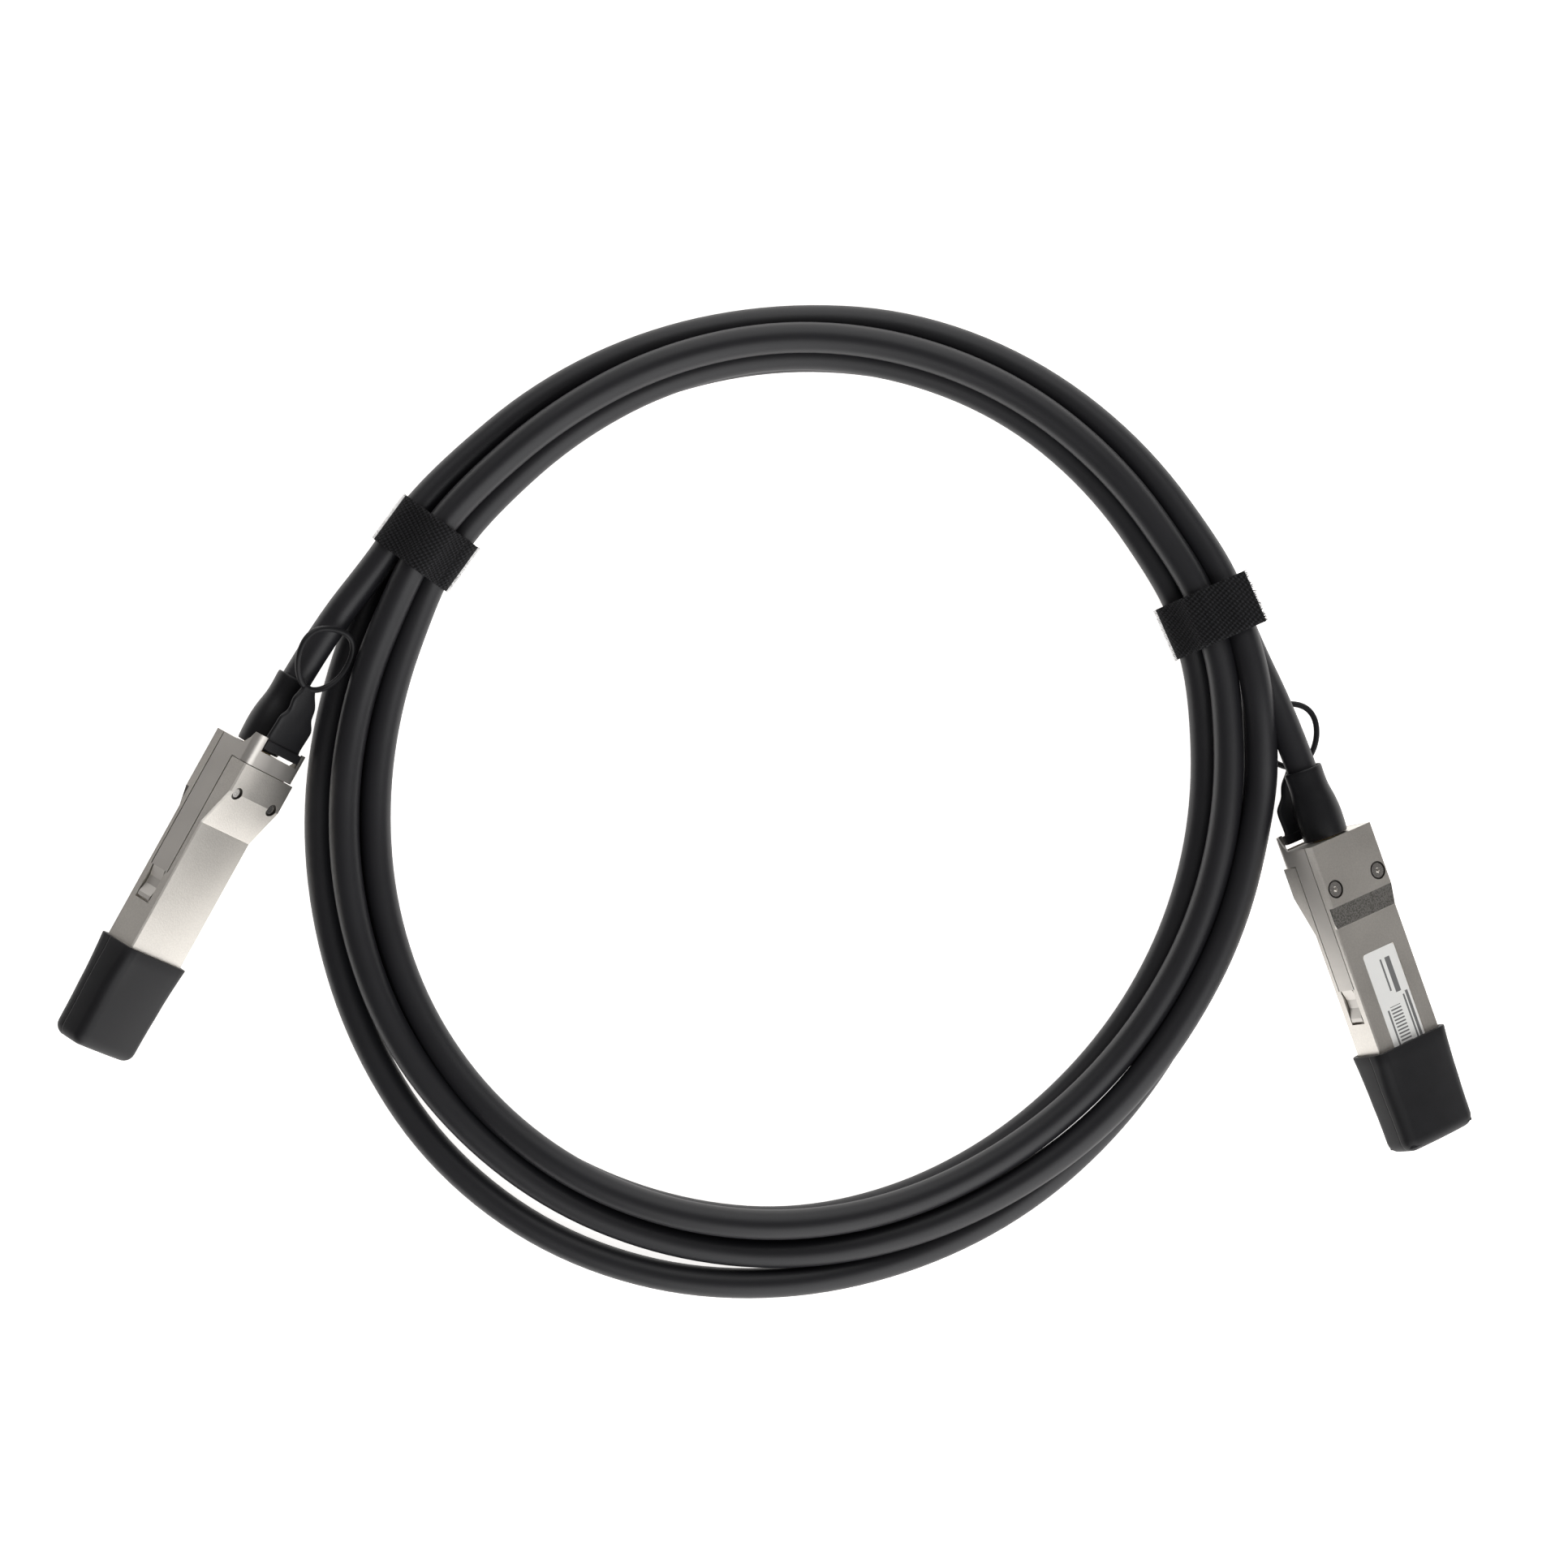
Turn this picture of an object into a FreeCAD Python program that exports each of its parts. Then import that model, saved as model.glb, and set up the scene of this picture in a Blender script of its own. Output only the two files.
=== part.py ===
"""Direct attach copper cable: a coiled eight-pair cable with a latching plug at each end.

The coil lies flat on the bench, +Z is up, and all sizes are in millimetres.
A plug is modelled in its own frame (x from the rear of its shells towards the mating
end, z = 0 on the underside of its body) and is then laid on the bench beside the coil.
"""
import FreeCAD
import Part
import math
import os

V = FreeCAD.Vector
MITRED = 1                  # how a swept profile turns a corner
os.makedirs("parts", exist_ok=True)

# ---------------------------------------------------------------- driving sizes, in mm
# cable
CABLE_D = 7.0               # jacket diameter
COIL_CENTRE = (0.0, -4.45)  # centre of the coil on the bench
COIL_TOP = 20.4             # height of the coil's five-strand side
COIL_LOW_TOP = 14.1         # height of its four-strand side
COIL_RISE = (15.0, 100.0)   # the top rises between these distances past the centre
COIL_HIGH_SIDE_DEG = 75.0   # where the coil is highest
COIL_SHELF_Z = 6.4          # the bottom strands reach this high where they stand out alone
COIL_BLANK_Z = COIL_TOP + 3.0   # height of the ring before its sloping top is cut

# plug body
BODY_W = 18.35
BODY_H = 8.5
BODY_LEN = 72.4
WALL = 1.05
SPLIT_Z = 4.25              # parting plane of the two shells
NOSE_CHAMFER = 0.8
EDGE_BREAK = 0.3
# backshell hump, above and below the body
HUMP_UP = 3.17
HUMP_DOWN = 1.18
HUMP_WALL = 1.25
UP_RAMP = (10.9, 20.3)      # x where the upper ramp starts and ends
DOWN_RAMP = (14.8, 19.6)    # the same below
STEP_X = 3.9                # the upper hump starts here, the latch band sits behind it
STEP_Z = 8.95               # height of the shell under the latch band
# rear wall and cable entry
REAR_WALL = 2.2
CABLE_Z = 4.3
# latch slide
ARM_T = 0.5
ARM_Z = (1.45, 6.75)
ARM_GAP = 0.25              # running clearance round each arm
ARM_END = 34.0
POCKET_DEPTH = 1.3
POCKET_Z = (1.85, 6.35)
HOOK_Z = (2.15, 6.05)
HOOK_FLOOR_AIR = 0.15       # between the hook's low run and the pocket's floor
HOOK_DROP = 2.4             # length of the bend from the arm down to that run
HOOK_X = (38.4, 40.7, 41.6)     # where the low run ends, the hook has risen again, and its tip
LATCH_TRAVEL = 2.5          # how far the slide is pulled back
POCKET_AIR = (0.3, 0.6)     # behind the hook when it is pulled back, and ahead of its tip
POCKET_X = (ARM_END - LATCH_TRAVEL - POCKET_AIR[0], HOOK_X[2] + POCKET_AIR[1])
BAND_BEND_R = 2.2           # outer bend radius of the band
BAND_REAR = -0.1
EAR_REAR = -3.5
EAR_W = 2.55
# return springs, one under each arm
SPRING_D = 1.7
SPRING_WIRE = 0.36
SPRING_X = (14.5, 22.3)
SPRING_Z = 3.1
SPRING_TURNS = 5
SPRING_STEPS = 6            # straight runs in each turn
SEAT_T = 0.5                # thickness of the spring's moving seat
SEAT_H = 1.6
# screws
SCREW_X = 10.9
SCREW_Y = BODY_W / 2.0 - 2.675
SCREW_D = 2.0
SCREW_HEAD_D = 3.4
COUNTERBORE_D = 4.2
SCREW_HEAD_H = 1.05
SCREW_LEN = 12.2
SCREW_POST_W = 4.4
SCREW_FIT = 0.05
POST_FOOT = 0.1              # height of the posts' feet, just off the bottom shell's floor
TIP_HOLE_D = 3.0
SOCKET_D = 1.3
SOCKET_DEPTH = 0.7
# paddle card
CARD_T = 1.0
CARD_Z = 3.6
CARD_X = (26.0, 70.2)
CARD_TAIL_W = BODY_W - 4.15    # clears the latch pockets' walls
CARD_NOSE_W = BODY_W - 1.95    # clears the shells' side walls at the nose
CARD_NOSE_X = 44.5
CARD_FIT = 0.15
LEDGE_SHORT = 4.0              # the ledges that hold the card stop this far from its nose
PAD_W = 0.54
PAD_PITCH = 0.8
PAD_L = 2.2
PAD_T = 0.06
PADS_PER_SIDE = int((CARD_NOSE_W - 1.0) / PAD_PITCH)
CHIP = (3.0, 4.4, 0.9)
CHIP_X = 37.0
# wires
PAIR_W = 1.15
PAIR_T = 0.78
PAIR_RING_R = 1.85          # the pairs leave the cable on this circle
PAIRS_PER_SIDE = 4
PAIR_PITCH = 3.2
# ferrule and boot
FERRULE_D = CABLE_D         # across the corners of its crimped, six-sided sleeve
FERRULE_BORE = 5.4
FERRULE_X = (-2.0, 4.2)
FLANGE_X = (1.0, 2.0)
FLANGE_W = 8.3
FLANGE_FIT = 0.05
BOOT_LEN = 16.5
BOOT_RIM_D = 8.3
BOOT_MAX_D = 10.4
BOOT_FRONT = -0.3
BOOT_SWELL_X = (-BOOT_LEN * 0.52, -BOOT_LEN * 0.24)
BOOT_FIT = 0.05
# pull tab
TAB_T = 1.3
TAB_Z = 10.0
TAB_FOOT_W = BODY_W - 5.15     # reaches under the latch band between its bends
TAB_FOOT_X = (-3.3, -0.95)
TAB_FOOT_TOP = 11.9
STRAP_W = BODY_W - 6.95
STRAP_END = -9.6
NECK_W = 4.2
NECK_END = -17.2
RING_MEAN_R = 6.8
RING_CORD_D = 1.3
# centre of each finger ring, with its tilt about the plug's own line in degrees
LEFT_RING = (-25.0, -3.6, 11.5, 12.0)
RIGHT_RING = (-23.4, -4.4, 12.4, 28.0)
# label recess on the underside
LABEL_W = BODY_W - 8.55
LABEL_START = 27.4
LABEL_END = 70.0
LABEL_DEPTH = 0.2
LABEL_T = 0.12
LABEL_R = 0.9
# dust cap
CAP_LEN = 24.2
CAP_WALL = 1.3
CAP_FIT = 0.12
CAP_END_WALL = 1.3
CAP_EDGE_R = 1.9
CAP_END_BEVEL = 1.2
CAP_TAPER = 0.7
CAP_SLACK_LEFT = 3.2        # air between each cap's closed end and the nose of its plug
CAP_SLACK_RIGHT = 0.1
# hook-and-loop ties
TIE_W = 12.4
TIE_T = 1.1
TIE_AIR = 0.15
LAP_INSET = 1.0             # the lapped tail starts this far inside the innermost strand
LAP_FOOT_Z = 9.0            # and ends at this height on the outer side
TAIL_LEN = 3.0              # the right tie's free tail stands this far out
TAIL_ROOT = 3.2             # and reaches this far back over the band
TAIL_DROP = 1.5             # its line starts this far below the highest strand
TAIL_ROOT_Z = (0.6, 1.0)    # underside of its root above that line, and top less the strap
TAIL_END_Z = 1.6

# ---------------------------------------------------------------- where the plugs lie
# heading, pitch and roll in degrees, and the rear of the shells on the bench
LEFT_LIE = (-118.75, -2.0, -55.6, -123.6, 9.75)
RIGHT_LIE = (-70.2, 3.0, 150.2, 125.7, -11.6)

# where each lead meets the gripped bundle, chosen by hand, and the length of the first of its two runs
LEFT_MEET = (-90.6, 52.7, 11.9)
RIGHT_MEET = (105.2, 33.8, 8.4)
LEFT_RUN = 26.0
RIGHT_RUN = 24.0

# outlines of the coil: radius in mm, evenly spaced anticlockwise from +X
COIL_LOWER = [107.8, 109.3, 115.0, 115.7, 115.9, 115.0, 113.3, 111.9, 110.8, 110.4, 109.8, 109.2,
              110.3, 111.7, 114.0, 116.4, 116.9, 115.9, 113.7, 111.5, 109.8, 108.1, 107.2, 107.0]
COIL_UPPER = [111.5, 113.6, 115.2, 116.0, 116.3, 115.7, 113.6, 112.3, 111.2, 109.6, 103.2, 103.0,
              103.9, 105.1, 106.6, 107.1, 107.5, 107.2, 106.8, 105.8, 105.3, 105.9, 106.7, 109.1]
COIL_INNER = [93.0, 97.3, 99.9, 99.0, 94.3, 90.8, 90.1, 92.7, 93.8, 92.9, 89.9, 89.9]

# each tie: its angle round the coil, how far the straight bundle runs each way along the coil,
# and (radius, height) of each strand's centre
LEFT_TIE = (144.0, (-7.0, 15.0), [(95.2, 10.3), (99.4, 4.9), (106.7, 4.9), (106.9, 11.9), (99.8, 15.2)])
RIGHT_TIE = (23.8, (-15.0, 7.0), [(99.9, 9.6), (104.9, 4.9), (111.7, 7.2), (110.6, 14.0), (103.9, 15.4)])

HALF_W = BODY_W / 2.0
CAP_SEAT_LEFT = BODY_LEN + CAP_SLACK_LEFT + CAP_END_WALL - CAP_LEN      # x of the open edge
CAP_SEAT_RIGHT = BODY_LEN + CAP_SLACK_RIGHT + CAP_END_WALL - CAP_LEN
RECESS_Y = HALF_W - ARM_T - ARM_GAP
POCKET_Y = HALF_W - POCKET_DEPTH
HUMP_TOP = BODY_H + HUMP_UP
HUMP_FOOT = -HUMP_DOWN


# ---------------------------------------------------------------- small helpers
def box(x0, x1, y0, y1, z0, z1):
    return Part.makeBox(x1 - x0, y1 - y0, z1 - z0, V(x0, y0, z0))


def rod(d, start, end):
    start, end = V(*start), V(*end)
    run = end - start
    return Part.makeCylinder(d / 2.0, run.Length, start, run)


def side_prism(points, y0, y1):
    """A closed profile of (x, z) points, pushed along y."""
    wire = Part.makePolygon([V(x, y0, z) for x, z in points] + [V(points[0][0], y0, points[0][1])])
    return Part.Face(wire).extrude(V(0, y1 - y0, 0))


def plan_prism(points, z0, z1):
    """A closed profile of (x, y) points, pushed up."""
    wire = Part.makePolygon([V(x, y, z0) for x, y in points] + [V(points[0][0], points[0][1], z0)])
    return Part.Face(wire).extrude(V(0, 0, z1 - z0))


def mirrored(shape):
    """The same shape on the other side of the plug."""
    return shape.mirror(V(0, 0, 0), V(0, 1, 0))


def both_sides(shape):
    return [shape, mirrored(shape)]


def cut_all(shape, tools):
    for tool in tools:
        shape = shape.cut(tool)
    return shape


def fuse_all(shapes):
    body = shapes[0]
    for shape in shapes[1:]:
        body = body.fuse(shape)
    return body.removeSplitter()


def long_edges(shape, test):
    """Straight edges along x whose middle passes the test."""
    found = []
    for edge in shape.Edges:
        span = edge.Vertexes[-1].Point - edge.Vertexes[0].Point
        if abs(span.y) < 1e-6 and abs(span.x) > 1.0 and test(edge.CenterOfMass):
            found.append(edge)
    return found


def rounded_rect(x, half_y, z0, z1, r):
    """Closed wire in the plane x = const, with its corners rounded."""
    y0, y1 = -half_y, half_y
    s = r * (1.0 - math.sqrt(0.5))
    corners = [
        (V(x, y1 - r, z0), V(x, y1 - s, z0 + s), V(x, y1, z0 + r)),
        (V(x, y1, z1 - r), V(x, y1 - s, z1 - s), V(x, y1 - r, z1)),
        (V(x, y0 + r, z1), V(x, y0 + s, z1 - s), V(x, y0, z1 - r)),
        (V(x, y0, z0 + r), V(x, y0 + s, z0 + s), V(x, y0 + r, z0)),
    ]
    edges = []
    for i, (start, middle, end) in enumerate(corners):
        edges.append(Part.Arc(start, middle, end).toShape())
        edges.append(Part.makeLine(end, corners[(i + 1) % 4][0]))
    return Part.Wire(edges)


# ---------------------------------------------------------------- cable along a route
def bend_radius(before, corner, after):
    first, second = corner - before, after - corner
    turn = first.getAngle(second)
    return 0.45 * min(first.Length, second.Length) / math.tan(turn / 2.0)


def route_path(points):
    """Straight runs joined by the largest tangent arcs that the runs allow."""
    edges, at, radii = [], points[0], []
    for before, corner, after in zip(points, points[1:], points[2:]):
        back, ahead = (before - corner).normalize(), (after - corner).normalize()
        radius = bend_radius(before, corner, after)
        radii.append(radius)
        reach = radius * math.tan((math.pi - back.getAngle(ahead)) / 2.0)
        start, end = corner + back * reach, corner + ahead * reach
        inward = (back + ahead).normalize()
        centre = corner + inward * math.hypot(radius, reach)
        edges.append(Part.makeLine(at, start))
        edges.append(Part.Arc(start, centre - inward * radius, end).toShape())
        at = end
    edges.append(Part.makeLine(at, points[-1]))
    return Part.Wire(edges), radii


def tube_along(points, d, name):
    points = [V(*p) for p in points]
    path, radii = route_path(points)
    ring = Part.Wire(Part.makeCircle(d / 2.0, points[0], points[1] - points[0]))
    tube = path.makePipeShell([ring], True, False)
    ideal = path.Length * math.pi * d * d / 4.0
    print(name, "points", [tuple(round(c, 3) for c in p) for p in points])
    print(name, "bend radii", [round(r, 1) for r in radii])
    print(name, "length %.1f volume ratio %.4f" % (path.Length, tube.Volume / ideal))
    return tube


# ---------------------------------------------------------------- shells
def latch_recess(z0, z1):
    """What the latch needs cut from one side of a shell between two heights."""
    shallow = box(-1, ARM_END, RECESS_Y, HALF_W + 1, z0, z1)
    pocket_z0, pocket_z1 = max(z0, POCKET_Z[0]), min(z1, POCKET_Z[1])
    pocket = box(POCKET_X[0], POCKET_X[1], POCKET_Y, HALF_W + 1, pocket_z0, pocket_z1)
    return shallow.fuse(pocket)


def spring_groove():
    half = SPRING_D / 2.0 + 0.15
    return box(SPRING_X[0], SPRING_X[1] + SEAT_T + 0.3, RECESS_Y - 2.0 * half, HALF_W,
               SPRING_Z - half, SPLIT_Z)


def cavity(z_floor, z_roof):
    """Room inside the shells: wide at the screws, narrow beside the springs, widest at the nose."""
    spring_inner = RECESS_Y - SPRING_D - 0.3 - WALL / 2.0
    inner = POCKET_Y - 0.6
    return [
        box(REAR_WALL, SPRING_X[0] - 1.0, -inner, inner, z_floor, z_roof),
        box(SPRING_X[0] - 1.1, SPRING_X[1] + 2.0, -spring_inner, spring_inner, z_floor, z_roof),
        box(SPRING_X[1] + 1.9, POCKET_X[1] + 1.0, -inner, inner, z_floor, z_roof),
        box(POCKET_X[1] + 0.9, BODY_LEN + 1, -HALF_W + WALL - 0.2, HALF_W - WALL + 0.2, z_floor, z_roof),
    ]


def entry_hole():
    """Round hole for the ferrule's sleeve, crossed by the slot that traps its flange."""
    neck = rod(FERRULE_D + 2 * BOOT_FIT, (-1, 0, CABLE_Z), (FERRULE_X[1] + 0.5, 0, CABLE_Z))
    half = FLANGE_W / 2.0 + FLANGE_FIT
    slot = box(FLANGE_X[0] - 2 * FLANGE_FIT, REAR_WALL + 0.1, -half, half, CABLE_Z - half, CABLE_Z + half)
    return neck.fuse(slot)


def bottom_shell():
    profile = [(0, HUMP_FOOT), (DOWN_RAMP[0], HUMP_FOOT), (DOWN_RAMP[1], 0),
               (BODY_LEN - NOSE_CHAMFER, 0), (BODY_LEN, NOSE_CHAMFER), (BODY_LEN, SPLIT_Z), (0, SPLIT_Z)]
    shell = side_prism(profile, -HALF_W, HALF_W)
    low_edges = long_edges(shell, lambda c: c.z < 0.3 and abs(abs(c.y) - HALF_W) < 1e-6)
    shell = shell.makeChamfer(EDGE_BREAK, low_edges)
    tools = cavity(WALL, SPLIT_Z + 1)
    tools.append(box(REAR_WALL, DOWN_RAMP[0] - 1.8, -POCKET_Y + 0.6, POCKET_Y - 0.6, 0, SPLIT_Z))
    tools.append(entry_hole())
    for side in both_sides(latch_recess(ARM_Z[0] - ARM_GAP, SPLIT_Z + 1)) + both_sides(spring_groove()):
        tools.append(side)
    label = rounded_slab(LABEL_START, LABEL_END, LABEL_W / 2.0, -1.0, LABEL_DEPTH, LABEL_R)
    tools.append(label)
    for y in (-SCREW_Y, SCREW_Y):
        tools.append(rod(SCREW_D + 2 * SCREW_FIT, (SCREW_X, y, HUMP_FOOT - 1), (SCREW_X, y, SPLIT_Z)))
        tools.append(rod(COUNTERBORE_D, (SCREW_X, y, HUMP_FOOT - 1), (SCREW_X, y, HUMP_FOOT + SCREW_HEAD_H)))
    shell = cut_all(shell, tools)
    ledge = box(CARD_NOSE_X, CARD_X[1] - LEDGE_SHORT, CARD_TAIL_W / 2.0 + 0.2, HALF_W - WALL + 0.3,
                WALL - 0.1, CARD_Z)
    return fuse_all([shell] + both_sides(ledge))


def rounded_slab(x0, x1, half_y, z0, z1, r):
    """Flat slab with its two rear corners rounded."""
    slab = box(x0, x1, -half_y, half_y, z0, z1)
    rear = [e for e in slab.Edges if abs(e.CenterOfMass.x - x0) < 1e-6 and e.Vertexes[0].Z != e.Vertexes[1].Z]
    return slab.makeFillet(r, rear)


def top_shell():
    profile = [(0, SPLIT_Z), (0, STEP_Z), (STEP_X, STEP_Z), (STEP_X, HUMP_TOP), (UP_RAMP[0], HUMP_TOP),
               (UP_RAMP[1], BODY_H), (BODY_LEN - NOSE_CHAMFER, BODY_H), (BODY_LEN, BODY_H - NOSE_CHAMFER),
               (BODY_LEN, SPLIT_Z)]
    shell = side_prism(profile, -HALF_W, HALF_W)
    top_edges = long_edges(shell, lambda c: (c.z > BODY_H - 0.1 and c.x > STEP_X
                                             and abs(abs(c.y) - HALF_W) < 1e-6))
    shell = shell.makeChamfer(EDGE_BREAK, top_edges)
    roof = BODY_H - WALL
    tools = cavity(SPLIT_Z - 1, roof)
    crown = HUMP_TOP - HUMP_WALL
    attic = [(STEP_X + 1.0, roof - 0.1), (STEP_X + 1.0, crown), (UP_RAMP[0] - 0.3, crown),
             (UP_RAMP[1] - 1.9, roof - 0.1)]
    tools.append(side_prism(attic, -POCKET_Y + 2.4, POCKET_Y - 2.4))
    tools.append(entry_hole())
    for side in both_sides(latch_recess(SPLIT_Z - 1, ARM_Z[1] + ARM_GAP)):
        tools.append(side)
    for side in both_sides(box(-1, STEP_X, RECESS_Y, HALF_W + 1, SPLIT_Z - 1, STEP_Z + 1)):
        tools.append(side)
    shell = cut_all(shell, tools)
    pieces = [shell]
    inner = POCKET_Y - 0.6
    for y in (-SCREW_Y, SCREW_Y):
        post_in = abs(y) - SCREW_POST_W / 2.0
        post = box(SCREW_X - SCREW_POST_W / 2.0, SCREW_X + SCREW_POST_W / 2.0, post_in, inner - 0.02,
                   POST_FOOT, roof + 1.0)
        pieces.append(post if y > 0 else mirrored(post))
    rib = box(CARD_NOSE_X, CARD_X[1] - LEDGE_SHORT, CARD_TAIL_W / 2.0 + 0.2, HALF_W - WALL + 0.25,
              CARD_Z + CARD_T + CARD_FIT, roof + 0.1)
    shell = fuse_all(pieces + both_sides(rib))
    for y in (-SCREW_Y, SCREW_Y):
        shell = shell.cut(rod(SCREW_D + 2 * SCREW_FIT, (SCREW_X, y, 0), (SCREW_X, y, HUMP_TOP + 1)))
        shell = shell.cut(rod(TIP_HOLE_D, (SCREW_X, y, HUMP_TOP - 0.9), (SCREW_X, y, HUMP_TOP + 1)))
    return shell


def shell_screw(y):
    """Flat-headed screw driven up from the underside into the top shell's post."""
    z0 = HUMP_FOOT + 0.1
    head = rod(SCREW_HEAD_D, (SCREW_X, y, z0), (SCREW_X, y, HUMP_FOOT + SCREW_HEAD_H))
    screw = head.fuse(rod(SCREW_D, (SCREW_X, y, z0 + 0.2), (SCREW_X, y, z0 + SCREW_LEN)))
    points = []
    for i in range(6):
        a = math.pi * i / 3.0
        points.append((SCREW_X + SOCKET_D / 2.0 * math.cos(a), y + SOCKET_D / 2.0 * math.sin(a)))
    return screw.removeSplitter().cut(plan_prism(points, z0 - 0.1, z0 + SOCKET_DEPTH))


def shell_screws():
    return Part.makeCompound([shell_screw(-SCREW_Y), shell_screw(SCREW_Y)])


# ---------------------------------------------------------------- latch slide and pull tab
def latch_slider():
    """One stamped and folded strip: a band over the back, two arms and their hooked ends."""
    band_front = STEP_X - 0.2
    outer = rounded_rect(EAR_REAR, HALF_W, -HUMP_TOP, HUMP_TOP, BAND_BEND_R)
    inner = rounded_rect(EAR_REAR, HALF_W - ARM_T, -HUMP_TOP + ARM_T, HUMP_TOP - ARM_T, BAND_BEND_R - ARM_T)
    run = V(band_front - EAR_REAR, 0, 0)
    band = Part.Face(outer).extrude(run).cut(Part.Face(inner).extrude(run))
    band = band.common(box(EAR_REAR, band_front, -HALF_W, HALF_W, ARM_Z[0], HUMP_TOP))
    window = box(EAR_REAR - 1, BAND_REAR, -HALF_W + EAR_W, HALF_W - EAR_W, STEP_Z, HUMP_TOP + 1)
    band = band.cut(window)
    below_ears = side_prism([(EAR_REAR - 1, 0), (0, 0), (0, STEP_Z - 1.2), (EAR_REAR + 1.6, STEP_Z + 0.2),
                             (EAR_REAR - 1, STEP_Z + 1.2)], -HALF_W - 1, HALF_W + 1)
    band = band.cut(below_ears)
    arm = box(0, ARM_END, HALF_W - ARM_T, HALF_W, ARM_Z[0], ARM_Z[1])
    y_out, y_in = HALF_W, POCKET_Y + HOOK_FLOOR_AIR + ARM_T
    low_end, risen, tip = HOOK_X
    root, low_start, inside = ARM_END - 0.6, ARM_END + HOOK_DROP, 0.2
    hook = [(root, y_out), (ARM_END, y_out), (low_start, y_in), (low_end, y_in), (risen, y_out),
            (tip, y_out), (tip, y_out - 0.7 * ARM_T), (risen + inside, y_out - ARM_T),
            (low_end + inside, y_in - ARM_T), (low_start - inside, y_in - ARM_T),
            (ARM_END - inside, y_out - ARM_T), (root, y_out - ARM_T)]
    hook = plan_prism(hook, HOOK_Z[0], HOOK_Z[1])
    seat_x = SPRING_X[1]
    seat = box(seat_x, seat_x + SEAT_T, RECESS_Y - SPRING_D - 0.1, HALF_W - ARM_T + 0.01,
               SPRING_Z - SEAT_H / 2.0, SPRING_Z + SEAT_H / 2.0)
    pieces = [band] + both_sides(arm) + both_sides(hook) + both_sides(seat)
    return fuse_all(pieces)


def pull_tab(ring_centre):
    """Moulded tab: a foot held by the latch band, a waisted strap and a finger ring."""
    ring_x, ring_y, ring_z, tilt = ring_centre
    crown_half = HALF_W - EAR_W - 0.15
    foot = box(TAB_FOOT_X[0], TAB_FOOT_X[1], -TAB_FOOT_W / 2, TAB_FOOT_W / 2, TAB_Z, HUMP_TOP - ARM_T - 0.02)
    crown = box(TAB_FOOT_X[0], TAB_FOOT_X[1], -crown_half, crown_half, TAB_Z, TAB_FOOT_TOP)
    half, neck = STRAP_W / 2, NECK_W / 2
    start = TAB_FOOT_X[1] - 0.4

    def lean(x):
        return ring_y * max(0.0, STRAP_END + 3.0 - x) / (STRAP_END + 3.0 - ring_x)

    def edge(side):
        """One long edge of the strap, from the foot to the ring, as two arcs."""
        p = [V(x, side * w + lean(x), 0) for x, w in (
            (STRAP_END, half), (STRAP_END - 2.6, half * 0.86), (STRAP_END - 5.0, neck * 1.25),
            (NECK_END + 0.6, neck), (NECK_END - 1.0, neck * 1.1))]
        return [Part.Arc(p[0], p[1], p[2]).toShape(), Part.Arc(p[2], p[3], p[4]).toShape()], p[0], p[4]

    near, a0, a1 = edge(1)
    far, b0, b1 = edge(-1)
    outline = Part.Wire([Part.makeLine(V(start, half, 0), a0)] + near + [Part.makeLine(a1, b1)]
                        + far[::-1] + [Part.makeLine(b0, V(start, -half, 0)),
                                       Part.makeLine(V(start, -half, 0), V(start, half, 0))])
    outline.translate(V(-TAB_FOOT_X[0], 0, 0))
    strap = Part.Face(outline).extrude(V(0, 0, TAB_T))
    rise = math.degrees(math.atan2(ring_z - TAB_Z - TAB_T / 2.0, TAB_FOOT_X[0] - ring_x))
    strap.Placement = FreeCAD.Placement(V(TAB_FOOT_X[0], 0, TAB_Z), FreeCAD.Rotation(V(0, 1, 0), rise))
    half_cord = RING_CORD_D / 2.0
    ring = Part.makeCylinder(RING_MEAN_R + half_cord, RING_CORD_D, V(0, 0, -half_cord))
    ring = ring.cut(Part.makeCylinder(RING_MEAN_R - half_cord, RING_CORD_D, V(0, 0, -half_cord)))
    ring.Placement = FreeCAD.Placement(V(ring_x, ring_y, ring_z), FreeCAD.Rotation(V(1, 0, 0), tilt))
    return fuse_all([foot, crown, strap, ring])


def return_springs():
    """Two compression springs, each between the shell and the seat folded from an arm."""
    half, r = SPRING_WIRE / 2.0, (SPRING_D - SPRING_WIRE) / 2.0
    length = SPRING_X[1] - SPRING_X[0] - SPRING_WIRE - 0.1
    steps = SPRING_TURNS * SPRING_STEPS
    helix = []
    for i in range(steps + 1):
        a = 2.0 * math.pi * i / SPRING_STEPS
        helix.append(V(length * i / steps, r * math.cos(a), r * math.sin(a)))
    along = (helix[1] - helix[0]).normalize()
    out = V(0, 1, 0).cross(along).normalize()
    across = along.cross(out)
    corners = [helix[0] + out * p * half + across * q * half for p, q in ((1, 1), (-1, 1), (-1, -1), (1, -1))]
    wire = Part.makePolygon(corners + corners[:1])
    spring = Part.makePolygon(helix).makePipeShell([wire], True, False, MITRED)
    y = RECESS_Y - SPRING_D / 2.0 - 0.12
    x = SPRING_X[0] + half + 0.05
    springs = []
    for side in (-1, 1):
        one = spring.copy()
        one.translate(V(x, side * y, SPRING_Z))
        springs.append(one)
    return Part.makeCompound(springs)


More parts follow.
